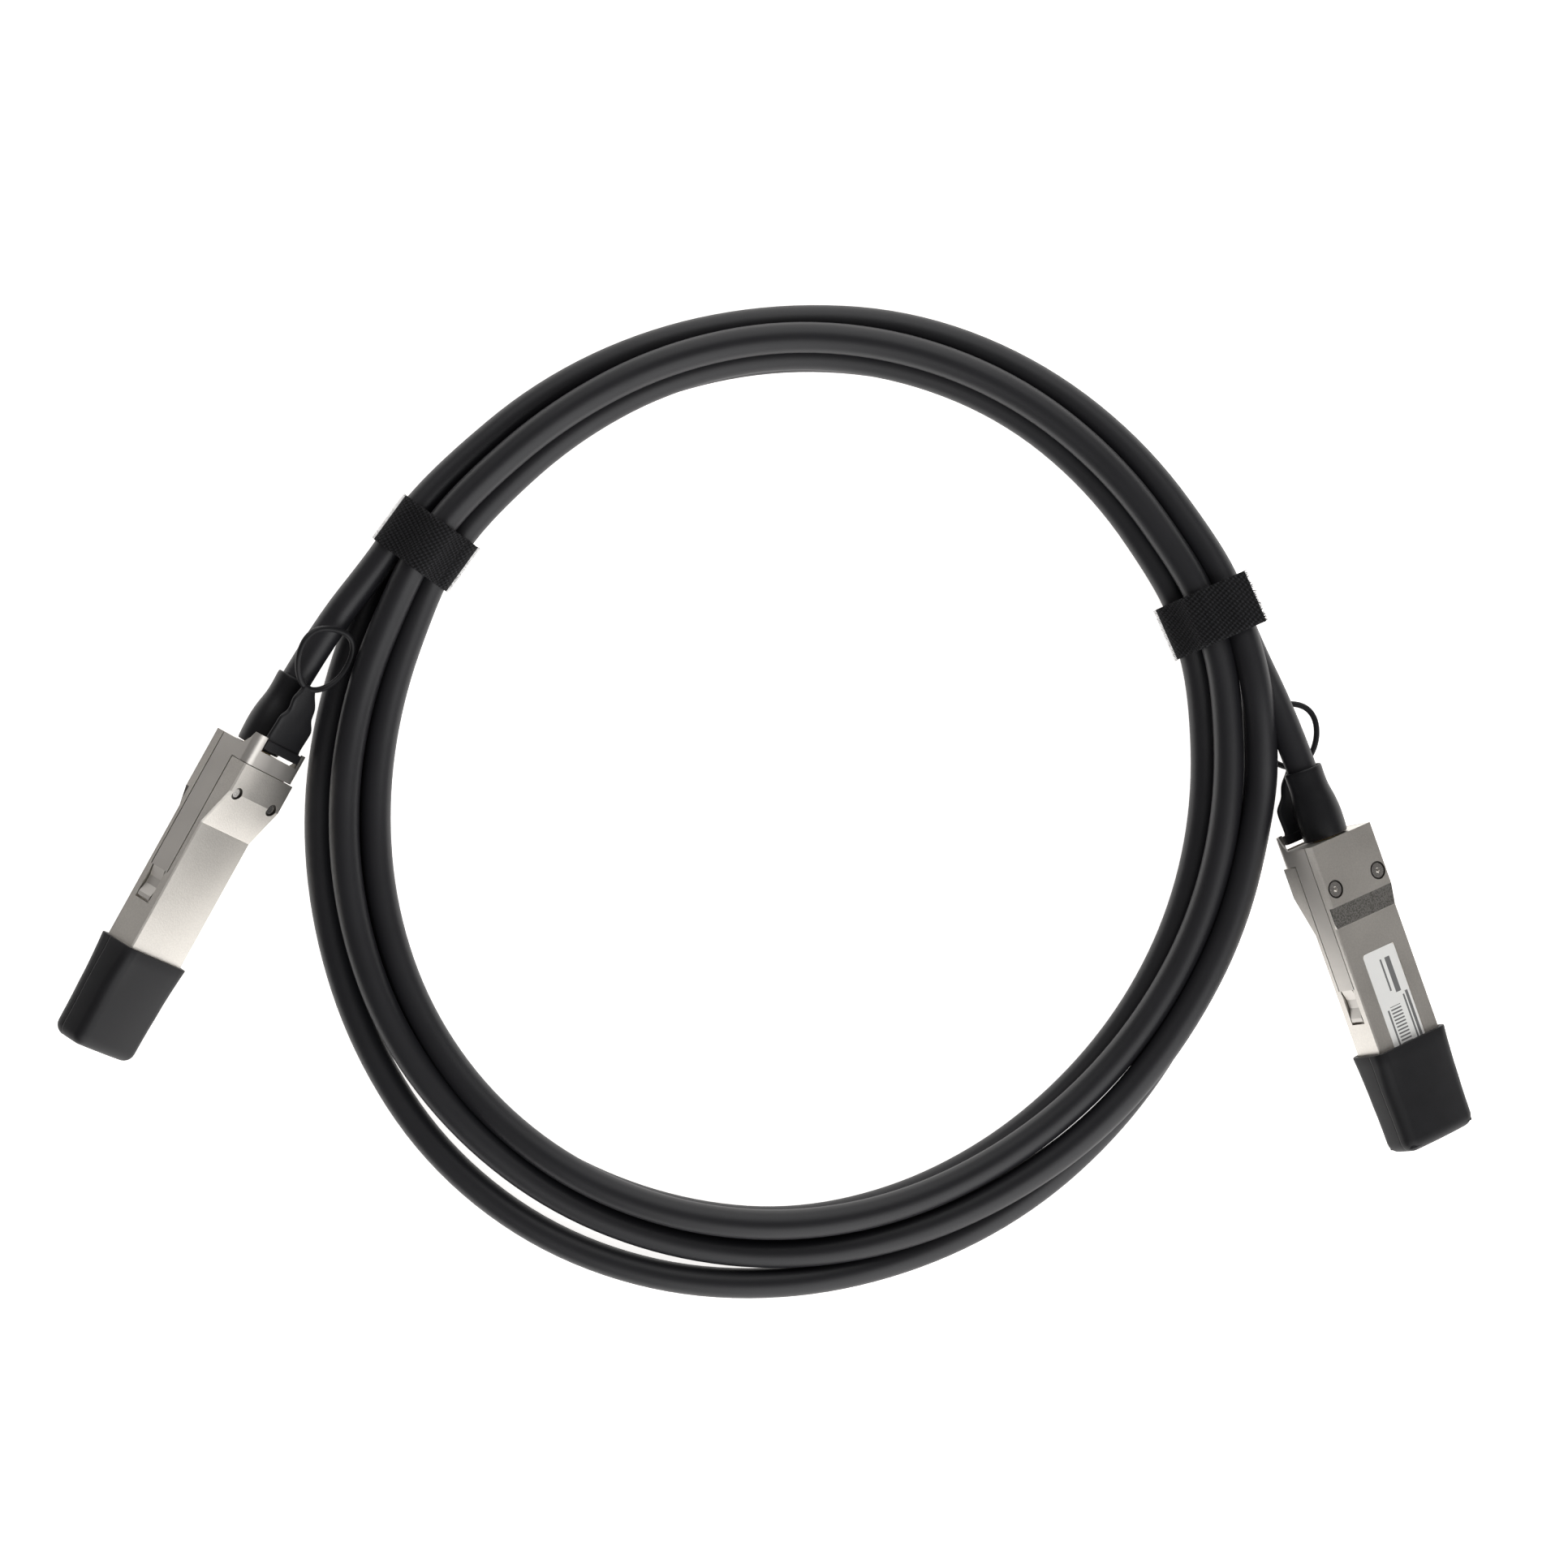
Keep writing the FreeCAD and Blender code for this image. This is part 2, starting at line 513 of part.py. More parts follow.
# ---------------------------------------------------------------- inside the plug
def paddle_card():
    """Circuit card with its edge contacts, which mate inside the host's connector."""
    tail, nose = CARD_TAIL_W / 2.0, CARD_NOSE_W / 2.0
    outline = [(CARD_X[0], -tail), (CARD_NOSE_X - 0.6, -tail), (CARD_NOSE_X + 0.2, -nose),
               (CARD_X[1] - 0.5, -nose), (CARD_X[1], -nose + 0.5), (CARD_X[1], nose - 0.5),
               (CARD_X[1] - 0.5, nose), (CARD_NOSE_X + 0.2, nose), (CARD_NOSE_X - 0.6, tail), (CARD_X[0], tail)]
    pieces = [plan_prism(outline, CARD_Z, CARD_Z + CARD_T)]
    for i in range(PADS_PER_SIDE):
        y = (i - (PADS_PER_SIDE - 1) / 2.0) * PAD_PITCH
        x1 = CARD_X[1] - (0.6 if i % 3 else 0.25)
        pieces.append(box(x1 - PAD_L, x1, y - PAD_W / 2, y + PAD_W / 2,
                          CARD_Z - PAD_T, CARD_Z + CARD_T + PAD_T))
    return pieces[0].multiFuse(pieces[1:]).removeSplitter()


def memory_chip():
    body = box(CHIP_X - CHIP[0] / 2, CHIP_X + CHIP[0] / 2, -CHIP[1] / 2 + 0.7, CHIP[1] / 2 - 0.7,
               CARD_Z + CARD_T + 0.1, CARD_Z + CARD_T + CHIP[2])
    legs = []
    for i in range(4):
        x = CHIP_X + (i - 1.5) * 0.65
        legs.append(box(x - 0.12, x + 0.12, -CHIP[1] / 2, CHIP[1] / 2,
                        CARD_Z + CARD_T, CARD_Z + CARD_T + 0.25))
    return fuse_all([body] + legs)


def twinax_pairs():
    """Eight flat shielded pairs fan out from the cable to both faces of the card."""
    w, t = PAIR_W / 2.0, PAIR_T / 2.0
    section = [(w, 0), (w - t, t), (t - w, t), (-w, 0), (t - w, -t), (w - t, -t), (w, 0)]
    pairs = []
    for level, z in ((-1, CARD_Z - t), (1, CARD_Z + CARD_T + t)):
        for i in range(PAIRS_PER_SIDE):
            y = (i - (PAIRS_PER_SIDE - 1) / 2.0) * PAIR_PITCH
            angle = math.radians(level * (157.5 - 45.0 * i))
            ring_y, ring_z = PAIR_RING_R * math.cos(angle), CABLE_Z + PAIR_RING_R * math.sin(angle)
            route = [V(FERRULE_X[0] + 1.0, ring_y, ring_z), V(FERRULE_X[1] + 1.0, ring_y, ring_z),
                     V(CARD_X[0] - 2.0, y, z), V(CARD_X[0] + 3.0, y, z)]
            outline = Part.makePolygon([V(route[0].x, ring_y + p, ring_z + q) for p, q in section])
            pairs.append(Part.makePolygon(route).makePipeShell([outline], True, False, MITRED))
    return Part.makeCompound(pairs)


def crimp_ferrule():
    """Six-sided crimped sleeve with the square flange that the shells trap."""
    corners = []
    for i in range(7):
        a = math.pi * i / 3.0
        corners.append(V(FERRULE_X[0], FERRULE_D / 2.0 * math.cos(a),
                         CABLE_Z + FERRULE_D / 2.0 * math.sin(a)))
    sleeve = Part.Face(Part.makePolygon(corners)).extrude(V(FERRULE_X[1] - FERRULE_X[0], 0, 0))
    half = FLANGE_W / 2.0
    flange = box(FLANGE_X[0], FLANGE_X[1], -half, half, CABLE_Z - half, CABLE_Z + half)
    bore = rod(FERRULE_BORE, (FERRULE_X[0] - 1, 0, CABLE_Z), (FERRULE_X[1] + 1, 0, CABLE_Z))
    return sleeve.fuse(flange).removeSplitter().cut(bore)


def strain_relief_boot():
    """Shrunk boot: slim round the cable, swelling towards the plug."""
    rim_r, max_r, bore_r = BOOT_RIM_D / 2.0, BOOT_MAX_D / 2.0, CABLE_D / 2.0 + BOOT_FIT
    x_rim, x_end = -BOOT_LEN, BOOT_FRONT
    profile = [(x_rim, bore_r), (x_rim, rim_r), (BOOT_SWELL_X[0], rim_r), (BOOT_SWELL_X[1], max_r),
               (x_end, max_r), (x_end, bore_r)]
    outline = Part.makePolygon([V(x, r, 0) for x, r in profile + profile[:1]])
    boot = Part.Face(outline).revolve(V(0, 0, 0), V(1, 0, 0), 360)
    boot.translate(V(0, 0, CABLE_Z))
    return boot


def label():
    gap = 0.15
    return rounded_slab(LABEL_START + gap, LABEL_END - gap, LABEL_W / 2.0 - gap,
                        LABEL_DEPTH - LABEL_T, LABEL_DEPTH, LABEL_R)


def dust_cap(seat_x):
    """Soft cap: slightly narrower towards its rounded, closed end."""
    half, z0, z1 = HALF_W + CAP_FIT, -CAP_FIT, BODY_H + CAP_FIT
    end = seat_x + CAP_LEN
    wide, slim = half + CAP_WALL, half + CAP_WALL - CAP_TAPER
    low, high, dip = z0 - CAP_WALL, z1 + CAP_WALL, CAP_TAPER / 2.0
    body = Part.makeWedge(-wide, 0, low, low + dip, -slim, wide, CAP_LEN, high, high - dip, slim)
    body.rotate(V(0, 0, 0), V(0, 0, 1), -90)
    body.translate(V(seat_x, 0, 0))
    long_ones = [e for e in body.Edges if e.BoundBox.XLength > CAP_LEN / 2.0]
    body = body.makeFillet(CAP_EDGE_R, long_ones)
    end_ones = [e for e in body.Edges if e.BoundBox.XMin > end - 1e-3]
    body = body.makeChamfer(CAP_END_BEVEL, end_ones)
    return body.cut(box(seat_x - 1, end - CAP_END_WALL, -half, half, z0, z1))


# ---------------------------------------------------------------- ties
def band_wire(centres, r):
    """Outline of a band pulled round circles of one radius: arcs joined by straight runs."""
    def turn(a, b, c):
        return (b[0] - a[0]) * (c[1] - a[1]) - (b[1] - a[1]) * (c[0] - a[0])
    hull = []
    for pts in (sorted(centres), sorted(centres, reverse=True)):
        part = []
        for p in pts:
            while len(part) > 1 and turn(part[-2], part[-1], p) <= 0:
                part.pop()
            part.append(p)
        hull += part[:-1]
    edges, n = [], len(hull)
    offs = []
    for i in range(n):
        (s0, z0), (s1, z1) = hull[i], hull[(i + 1) % n]
        length = math.hypot(s1 - s0, z1 - z0)
        offs.append(((z1 - z0) / length, -(s1 - s0) / length))
    for i in range(n):
        (s, z), before, after = hull[i], offs[i - 1], offs[i]
        mid = (before[0] + after[0], before[1] + after[1])
        scale = r / math.hypot(*mid)
        start = V(s + before[0] * r, 0, z + before[1] * r)
        end = V(s + after[0] * r, 0, z + after[1] * r)
        edges.append(Part.Arc(start, V(s + mid[0] * scale, 0, z + mid[1] * scale), end).toShape())
        s1, z1 = hull[(i + 1) % n]
        edges.append(Part.makeLine(end, V(s1 + after[0] * r, 0, z1 + after[1] * r)))
    return Part.Wire(edges)


def at_tie(shape, angle_deg):
    """Turn a shape drawn in the radius-height plane to its place round the coil."""
    turn = FreeCAD.Rotation(V(0, 0, 1), angle_deg)
    shape.Placement = FreeCAD.Placement(V(COIL_CENTRE[0], COIL_CENTRE[1], 0), turn).multiply(shape.Placement)
    return shape


def tie(spec, tail_len):
    """Hook-and-loop strap round the bundle, with its tail lapped over the outer side."""
    angle, _, strands = spec
    inner_r = CABLE_D / 2.0 + TIE_AIR
    run = V(0, TIE_W, 0)
    outer = Part.Face(band_wire(strands, inner_r + TIE_T)).extrude(run)
    inner = Part.Face(band_wire(strands, inner_r)).extrude(run)
    lap = Part.Face(band_wire(strands, inner_r + 2 * TIE_T)).extrude(run).cut(outer)
    inmost, outmost = min(s for s, z in strands), max(s for s, z in strands)
    highest = max(z for s, z in strands)
    clear = 2.0 * (inner_r + 2 * TIE_T)
    lap_zone = box(inmost - LAP_INSET, outmost + clear, -1, TIE_W + 1, LAP_FOOT_Z, highest + clear)
    band = outer.cut(inner)
    pieces = [band, lap.common(lap_zone)]
    if tail_len > 0:
        edge_s = outmost + inner_r + TIE_T
        edge_z = highest - TAIL_DROP
        root_s, end_s, end_z = edge_s - TAIL_ROOT, edge_s + tail_len, edge_z + TAIL_END_Z
        flap = side_prism([(root_s, edge_z + TAIL_ROOT_Z[0]), (end_s, end_z), (end_s, end_z + TIE_T),
                           (root_s, edge_z + TAIL_ROOT_Z[1] + TIE_T)], 0, TIE_W)
        pieces.append(flap.cut(inner))
    strap = fuse_all(pieces)
    strap.translate(V(0, -TIE_W / 2.0, 0))
    return at_tie(strap, angle)


def bundle_core(spec):
    """The bundle itself where a tie grips it."""
    angle, reach, strands = spec
    core = Part.Face(band_wire(strands, CABLE_D / 2.0)).extrude(V(0, reach[1] - reach[0], 0))
    core.translate(V(0, reach[0], 0))
    return at_tie(core, angle)


def coil_loop(radii):
    """Closed outline through the given radii, each arc passing through three of them."""
    points = []
    for i, r in enumerate(radii):
        a = 2.0 * math.pi * i / len(radii)
        points.append(V(COIL_CENTRE[0] + r * math.cos(a), COIL_CENTRE[1] + r * math.sin(a), 0))
    points.append(points[0])
    arcs = [Part.Arc(points[i], points[i + 1], points[i + 2]).toShape() for i in range(0, len(radii), 2)]
    return Part.Face(Part.Wire(arcs))


def cable_coil():
    """Outer form of the coil: a ring as wide and as deep as the turns, gripped at the two ties."""
    lower = coil_loop(COIL_LOWER).extrude(V(0, 0, COIL_SHELF_Z))
    upper = coil_loop(COIL_UPPER).extrude(V(0, 0, COIL_BLANK_Z - COIL_SHELF_Z))
    upper.translate(V(0, 0, COIL_SHELF_Z))
    ring = lower.fuse(upper).cut(coil_loop(COIL_INNER).extrude(V(0, 0, COIL_BLANK_Z)))
    rise_from, rise_to = COIL_RISE
    slope = (COIL_TOP - COIL_LOW_TOP) / (rise_to - rise_from)
    far = 1.2 * max(COIL_LOWER)
    under_lid = side_prism([(-far, -1), (-far, COIL_LOW_TOP), (rise_from, COIL_LOW_TOP),
                            (far, COIL_LOW_TOP + slope * (far - rise_from)), (far, -1)], -far, far)
    ring = ring.common(at_tie(under_lid, COIL_HIGH_SIDE_DEG))
    slot_len = TIE_W + 2 * TIE_AIR
    for spec in (LEFT_TIE, RIGHT_TIE):
        slot = box(0.5 * min(COIL_INNER), far, -slot_len / 2, slot_len / 2, -1, COIL_BLANK_Z + 1)
        ring = ring.cut(at_tie(slot, spec[0]))
    return fuse_all([ring] + [bundle_core(spec) for spec in (LEFT_TIE, RIGHT_TIE)])


# ---------------------------------------------------------------- assembly
def lie_placement(lie, z):
    heading, pitch, roll, x, y = lie
    turn = (FreeCAD.Rotation(V(0, 0, 1), heading) * FreeCAD.Rotation(V(0, 1, 0), pitch)
            * FreeCAD.Rotation(V(1, 0, 0), roll))
    return FreeCAD.Placement(V(x, y, z), turn)


def plug_nodes(side, lie, cap_seat, ring_centre):
    """Every piece of one plug, laid on the bench; returns the pieces and the plug's placement."""
    nodes = {
        "bottom_shell": bottom_shell(),
        "top_shell": top_shell(),
        "shell_screws": shell_screws(),
        "latch_slider": latch_slider(),
        "pull_tab": pull_tab(ring_centre),
        "return_springs": return_springs(),
        "paddle_card": paddle_card(),
        "memory_chip": memory_chip(),
        "twinax_pairs": twinax_pairs(),
        "crimp_ferrule": crimp_ferrule(),
        "boot": strain_relief_boot(),
        "label": label(),
        "dust_cap": dust_cap(cap_seat),
    }
    level = lie_placement(lie, 0.0)
    lowest = 1e9
    for shape in nodes.values():
        trial = shape.copy()
        trial.Placement = level.multiply(trial.Placement)
        lowest = min(lowest, trial.optimalBoundingBox(False).ZMin)
    place = lie_placement(lie, -lowest)
    placed = {}
    for name, shape in nodes.items():
        shape.Placement = place.multiply(shape.Placement)
        placed[side + "_" + name] = shape
    return placed, place


def lead(place, run, meet, name):
    """Cable from inside the boot, out along the plug's own line and into the coil."""
    inside = place.multVec(V(FERRULE_X[0], 0, CABLE_Z))
    outside = place.multVec(V(FERRULE_X[0] - run, 0, CABLE_Z))
    points = [tuple(inside), tuple(outside), meet]
    return tube_along(points, CABLE_D, name)


def build():
    nodes = {}
    left, left_place = plug_nodes("left", LEFT_LIE, CAP_SEAT_LEFT, LEFT_RING)
    right, right_place = plug_nodes("right", RIGHT_LIE, CAP_SEAT_RIGHT, RIGHT_RING)
    nodes.update(left)
    nodes.update(right)
    nodes["left_lead"] = lead(left_place, LEFT_RUN, LEFT_MEET, "left_lead")
    nodes["right_lead"] = lead(right_place, RIGHT_RUN, RIGHT_MEET, "right_lead")
    nodes["cable_coil"] = cable_coil()
    nodes["left_tie"] = tie(LEFT_TIE, 0.0)
    nodes["right_tie"] = tie(RIGHT_TIE, TAIL_LEN)
    cable_names = ("left_lead", "right_lead", "cable_coil")
    span = FreeCAD.BoundBox()
    for name, shape in nodes.items():
        if name not in cable_names:
            span.add(shape.optimalBoundingBox(False))
    shift = V(-span.Center.x, -span.Center.y, -span.ZMin)
    print("plugs and ties span", [round(v, 3) for v in (span.XMin, span.XMax, span.YMin, span.YMax,
                                                       span.ZMin, span.ZMax)])
    print("shift to origin", [round(v, 3) for v in shift])
    for side, place, ring in (("left", left_place, LEFT_RING), ("right", right_place, RIGHT_RING)):
        place = FreeCAD.Placement(shift, FreeCAD.Rotation()).multiply(place)
        for what, point in (("rear", V(0, 0, 0)), ("rim", V(-BOOT_LEN, 0, CABLE_Z)), ("ring", V(*ring[:3])),
                            ("axis", None), ("y_axis", None), ("z_axis", None)):
            if point is None:
                base = {"axis": V(1, 0, 0), "y_axis": V(0, 1, 0), "z_axis": V(0, 0, 1)}[what]
                print(side, what, [round(v, 5) for v in place.Rotation.multVec(base)])
            else:
                print(side, what, [round(v, 3) for v in place.multVec(point)])
    for name, shape in nodes.items():
        shape.Placement = FreeCAD.Placement(shift, FreeCAD.Rotation()).multiply(shape.Placement)
        shape.exportStep("parts/%s.step" % name)
        print("%-24s solids %d valid %s volume %.1f"
              % (name, len(shape.Solids), shape.isValid(), shape.Volume))


build()
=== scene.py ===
import math
import random

import bmesh
import bpy
from bpy.props import FloatProperty, FloatVectorProperty, IntProperty, PointerProperty
from mathutils import Matrix, Vector


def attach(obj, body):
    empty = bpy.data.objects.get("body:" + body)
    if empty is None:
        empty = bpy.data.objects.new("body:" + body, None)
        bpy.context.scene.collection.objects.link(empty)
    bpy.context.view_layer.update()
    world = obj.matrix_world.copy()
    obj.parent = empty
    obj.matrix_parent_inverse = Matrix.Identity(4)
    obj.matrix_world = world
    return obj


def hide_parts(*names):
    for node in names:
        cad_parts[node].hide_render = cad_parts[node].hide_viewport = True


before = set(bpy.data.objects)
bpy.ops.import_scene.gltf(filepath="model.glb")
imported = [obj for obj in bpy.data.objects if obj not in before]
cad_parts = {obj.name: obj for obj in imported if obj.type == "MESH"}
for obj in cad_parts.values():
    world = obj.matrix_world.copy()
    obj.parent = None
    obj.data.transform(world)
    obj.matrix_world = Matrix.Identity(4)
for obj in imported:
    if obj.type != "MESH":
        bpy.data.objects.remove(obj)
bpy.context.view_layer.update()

bl_info = {
    "name": "Direct attach copper cable",
    "version": (1, 0, 0),
    "blender": (4, 5, 0),
    "location": "View3D > Sidebar > Cable",
    "description": "Coiled copper cable with a latching plug at each end, held by hook-and-loop ties",
    "category": "Add Mesh",
}

MM = 0.001

# ---------------------------------------------------------------- where things lie, in mm
ORIGIN = Vector((3.393, 8.927, 0.0))     # the bench point under the camera, in the row frame
COIL_CENTRE = ORIGIN + Vector((0.0, -4.45, 0.0))
CABLE_AXIS_Z = 4.3                       # the cable's line above a plug's underside
# each plug: its heading, pitch and roll in degrees, and the rear of its shells
PLUGS = {
    "left": ((-118.75, -2.0, -55.6), (-120.207, 18.677, 8.063)),
    "right": ((-70.2, 3.0, 150.2), (129.093, -2.673, 16.344)),
}
# the cable between each boot and the coil, measured from the bench point
LEFT_LEAD = [(-119.487, 9.870, 10.421), (-106.989, 32.651, 9.513), (-90.6, 52.7, 11.9)]
RIGHT_LEAD = [(105.2, 33.8, 8.4), (114.828, 12.289, 13.978), (122.947, -10.261, 12.722)]
# the coil, half a turn to a list, each point as
# (angle round the coil, distance from its centre, height of the cable's line)
HALF_TURNS = [
    [(144, 106.9, 11.9), (135, 106.5, 11.2), (120, 107.7, 10.6), (105, 108.8, 10.5), (90, 110.1, 10.5),
     (75, 112.2, 10.5), (60, 112.8, 10.5), (45, 112.5, 11.2), (30, 111.7, 13.2), (23.8, 110.8, 14.7),
     (15, 110.1, 15.7), (7, 109.0, 13.6), (0, 108.0, 11.0)],
    [(345, 105.6, 10.2), (330, 103.2, 10.5), (315, 102.4, 10.2), (300, 101.8, 8.9), (285, 102.3, 7.7),
     (270, 103.3, 5.4), (255, 103.7, 5.6), (240, 104.0, 6.9), (225, 103.6, 9.2), (210, 103.1, 10.3),
     (195, 101.6, 10.5), (180, 100.4, 10.5), (165, 99.6, 11.2)],
    [(150, 99.4, 13.6), (144, 99.8, 15.2), (135, 100.1, 15.3), (120, 101.5, 16.1), (105, 103.8, 16.7),
     (90, 105.8, 16.7), (75, 106.7, 16.6), (60, 106.9, 16.5), (45, 106.1, 16.0), (30, 105.2, 15.4),
     (23.8, 104.5, 15.4), (15, 103.6, 13.6), (0, 101.1, 10.9)],
    [(345, 98.8, 9.4), (330, 96.5, 9.8), (315, 95.2, 10.1), (300, 94.8, 10.4), (285, 95.5, 10.5),
     (270, 96.2, 10.5), (255, 96.8, 10.5), (240, 97.2, 10.5), (225, 96.9, 10.0), (210, 96.1, 8.3),
     (195, 94.7, 6.9), (180, 93.5, 6.7), (165, 93.2, 8.0)],
    [(150, 94.3, 9.2), (144, 95.2, 10.3), (135, 95.9, 9.9), (120, 97.9, 10.2), (105, 100.5, 10.5),
     (90, 102.5, 10.5), (75, 103.2, 10.5), (60, 103.4, 10.3), (45, 102.2, 9.9), (30, 100.8, 9.6),
     (23.8, 99.9, 9.4), (15, 98.8, 6.8), (0, 96.6, 3.8)],
    [(345, 94.7, 3.5), (330, 93.3, 3.5), (315, 92.7, 3.5), (300, 93.3, 3.5), (285, 94.7, 3.5),
     (270, 96.3, 3.5), (255, 96.9, 3.5), (240, 97.8, 3.5), (225, 99.4, 3.5), (210, 101.3, 3.5),
     (195, 100.9, 3.5), (180, 99.8, 3.5), (165, 98.7, 3.5)],
    [(150, 99.1, 3.9), (144, 99.4, 4.9), (135, 99.8, 3.9), (120, 100.2, 3.5), (105, 101.1, 3.5),
     (90, 102.6, 3.5), (75, 104.1, 3.5), (60, 105.2, 3.5), (45, 105.0, 3.5), (30, 104.8, 4.0),
     (23.8, 104.9, 4.9), (15, 105.8, 3.9), (0, 104.3, 3.5)],
    [(345, 103.5, 3.5), (330, 103.7, 3.5), (315, 104.6, 3.5), (300, 106.3, 3.5), (285, 108.0, 3.5),
     (270, 110.2, 3.5), (255, 112.4, 3.5), (240, 113.5, 3.5), (225, 112.9, 3.5), (210, 110.5, 3.5),
     (195, 108.2, 3.5), (180, 106.8, 3.5), (165, 105.7, 3.5)],
    [(150, 106.3, 3.9), (144, 106.7, 4.9), (135, 106.9, 3.9), (120, 107.3, 3.5), (105, 108.3, 3.5),
     (90, 109.8, 3.5), (75, 111.5, 3.5), (60, 112.4, 3.5), (45, 112.2, 4.2), (30, 111.5, 6.0),
     (23.8, 111.7, 7.5)],
]
CORNER_CUT = 1.0087        # the control points stand out by this factor, as the smooth line cuts inside them

# ---------------------------------------------------------------- the ties, in mm
# each tie: its angle round the coil, the (distance, height) near which its tape starts, the lap
# over its own start and the free end that stands off
TIES = {
    "left_tie": (144, (103.0, 30.0), 9.0, 0.0),
    "right_tie": (23.8, (106.5, 30.0), 7.5, 4.4),
}
TIE_SLACK = 0.12           # between the cable and the tape
OUTLINE_STEP = 0.35        # between neighbouring points along the tape
SAG_SHARE, SAG_MOST = 0.07, 0.45     # how far the tape dips between strands, by share and at most
LAP_RISE = 2.2             # the lap climbs onto the layer below over this length
FLAP_STEPS = 8
TAPE_CURL = 0.12           # the tape's edges hang this much lower
TAPE_THREAD = 0.62         # between one thread of the weave and the next
HOOK_PITCH = (0.62, 0.52)  # between rows of hooks and between the hooks of a row
HOOK_HEIGHT = (0.6, 0.85)
HOOK_R = 0.07
FRAY_LENGTH = (0.3, 0.95)
FRAY_R = 0.05
BENCH_CLEAR = 0.1          # no hair comes nearer the bench than this

# ---------------------------------------------------------------- plug sizes, in mm
BODY_HALF_W = 9.175
BODY_H = 8.5
SCREW_X = 10.9
SCREW_Y = 6.5
# painted shade in the holes round the screws, below and above: radius, lowest z, highest z
SCREW_HOLE_SHADE = ((2.1213, -1.1, 1.0), (1.533, 2.0, 11.5))
BLASTED_X = (14.75, 19.65)           # the blasted band under the plug, from here to here
GOLD_X = (67.2, 67.5)                # the card turns from green to gold between these
PARTING_Z = 2.6                      # height of the caps' parting line
# the label's plain bars and its field of stripes, each from y to y and from x to x
LABEL_BARS = ((-2.4, -0.9, 30.0, 38.4), (0.1, 0.6, 30.0, 37.6), (-4.1, -3.3, 38.8, 52.0),
              (-2.9, -2.4, 39.4, 51.0), (2.7, 3.2, 41.5, 52.0))
LABEL_STRIPES = (-0.9, 2.2, 41.0, 53.0)
STRIPE_PITCH = 0.8
STRIPE_SHARE = 0.45        # of the pitch is ink
# each cap: x of its open edge, its length, and x of the bottom of its hollow
CAPS = {"left": (52.7, 25.0, 75.6), "right": (49.6, 23.9, 72.5)}
CAP_WALL = 1.3
CAP_FIT = 0.12
CAP_TAPER = (0.55, 0.3)    # the closed end is this much smaller, each side, in y and in z
CAP_SIDE_Y = 9.5           # only the side walls lie beyond this
CAP_DISH = 0.75            # the flat faces fall this much towards the sides
CAP_BULGE = (0.28, 0.12)   # the side walls swell by the first and start in by the second
CAP_CORNER_R = 2.3
CAP_END_R = 2.6
CAP_LIP_R = 0.22
# each boot: its length and the radius of its rim
BOOTS = {"left": (18.4, 4.35), "right": (16.6, 4.45)}
BOOT_BORE_FIT = 0.05
BOOT_FRONT = -0.3
# each finger ring: its centre, and its tilt about the plug's own line in degrees
RINGS = {"left": ((-25.3, -3.35, 11.8), 12.0), "right": ((-24.4, -4.65, 11.6), 28.0)}
RING_CORD_R = 0.72
RING_R = 6.75
# swellings of the ring: each one's bearing in degrees, where 0 points at the strap, and its height
RING_SWELLS = ((0.0, 1.0), (145.0, 1.3), (240.0, 0.8))
SWELL_SPREAD = 0.6         # in radians
STRAP_START = -0.95
STRAP_REACH = 7.2          # the strap ends this far before the ring's centre
STRAP_T = 1.25
STRAP_Z = 10.65            # the strap's middle where it leaves the latch
STRAP_HALF_W = 6.0
# the two steps of the waist: x where each begins, the length it takes and how far it goes in
STRAP_WAIST = ((-8.8, 3.1, 1.85), (-13.6, 4.4, 2.1))
STRAP_HEAD = (-3.3, 0.3)   # ahead of this x the latch band holds a wider head
STRAP_LEAN_X = -7.0        # it leans sideways from here on
STRAP_RISE_X = -3.0        # it rises from here on
STRAP_BEND_RUN = 14.0      # and does both over this length
STRAP_CROWN = 0.16
FOOT_CENTRE = Vector((-2.1, 0.0, 10.95))
FOOT_SIZE = Vector((2.3, 12.8, 1.9))
FOOT_EDGE_R = 0.3

# ---------------------------------------------------------------- the stage, in metres and watts
FLOOR_SIZE = 4.0
CAMERA_HEIGHT = 0.9
VIEW_WIDTH = 0.36248       # the bench seen from side to side
SENSOR_MM = 36.0
# each studio light: its place from the bench point, its size and its power
LIGHTS = {
    "back": ((0.1, 1.7, 1.0), 2.2, 24.0),
    "front": ((0.8, -1.6, 1.0), 2.8, 54.0),
}
WORLD_COLOUR = (1.0, 0.95, 0.92, 1.0)
WORLD_STRENGTH = 0.11


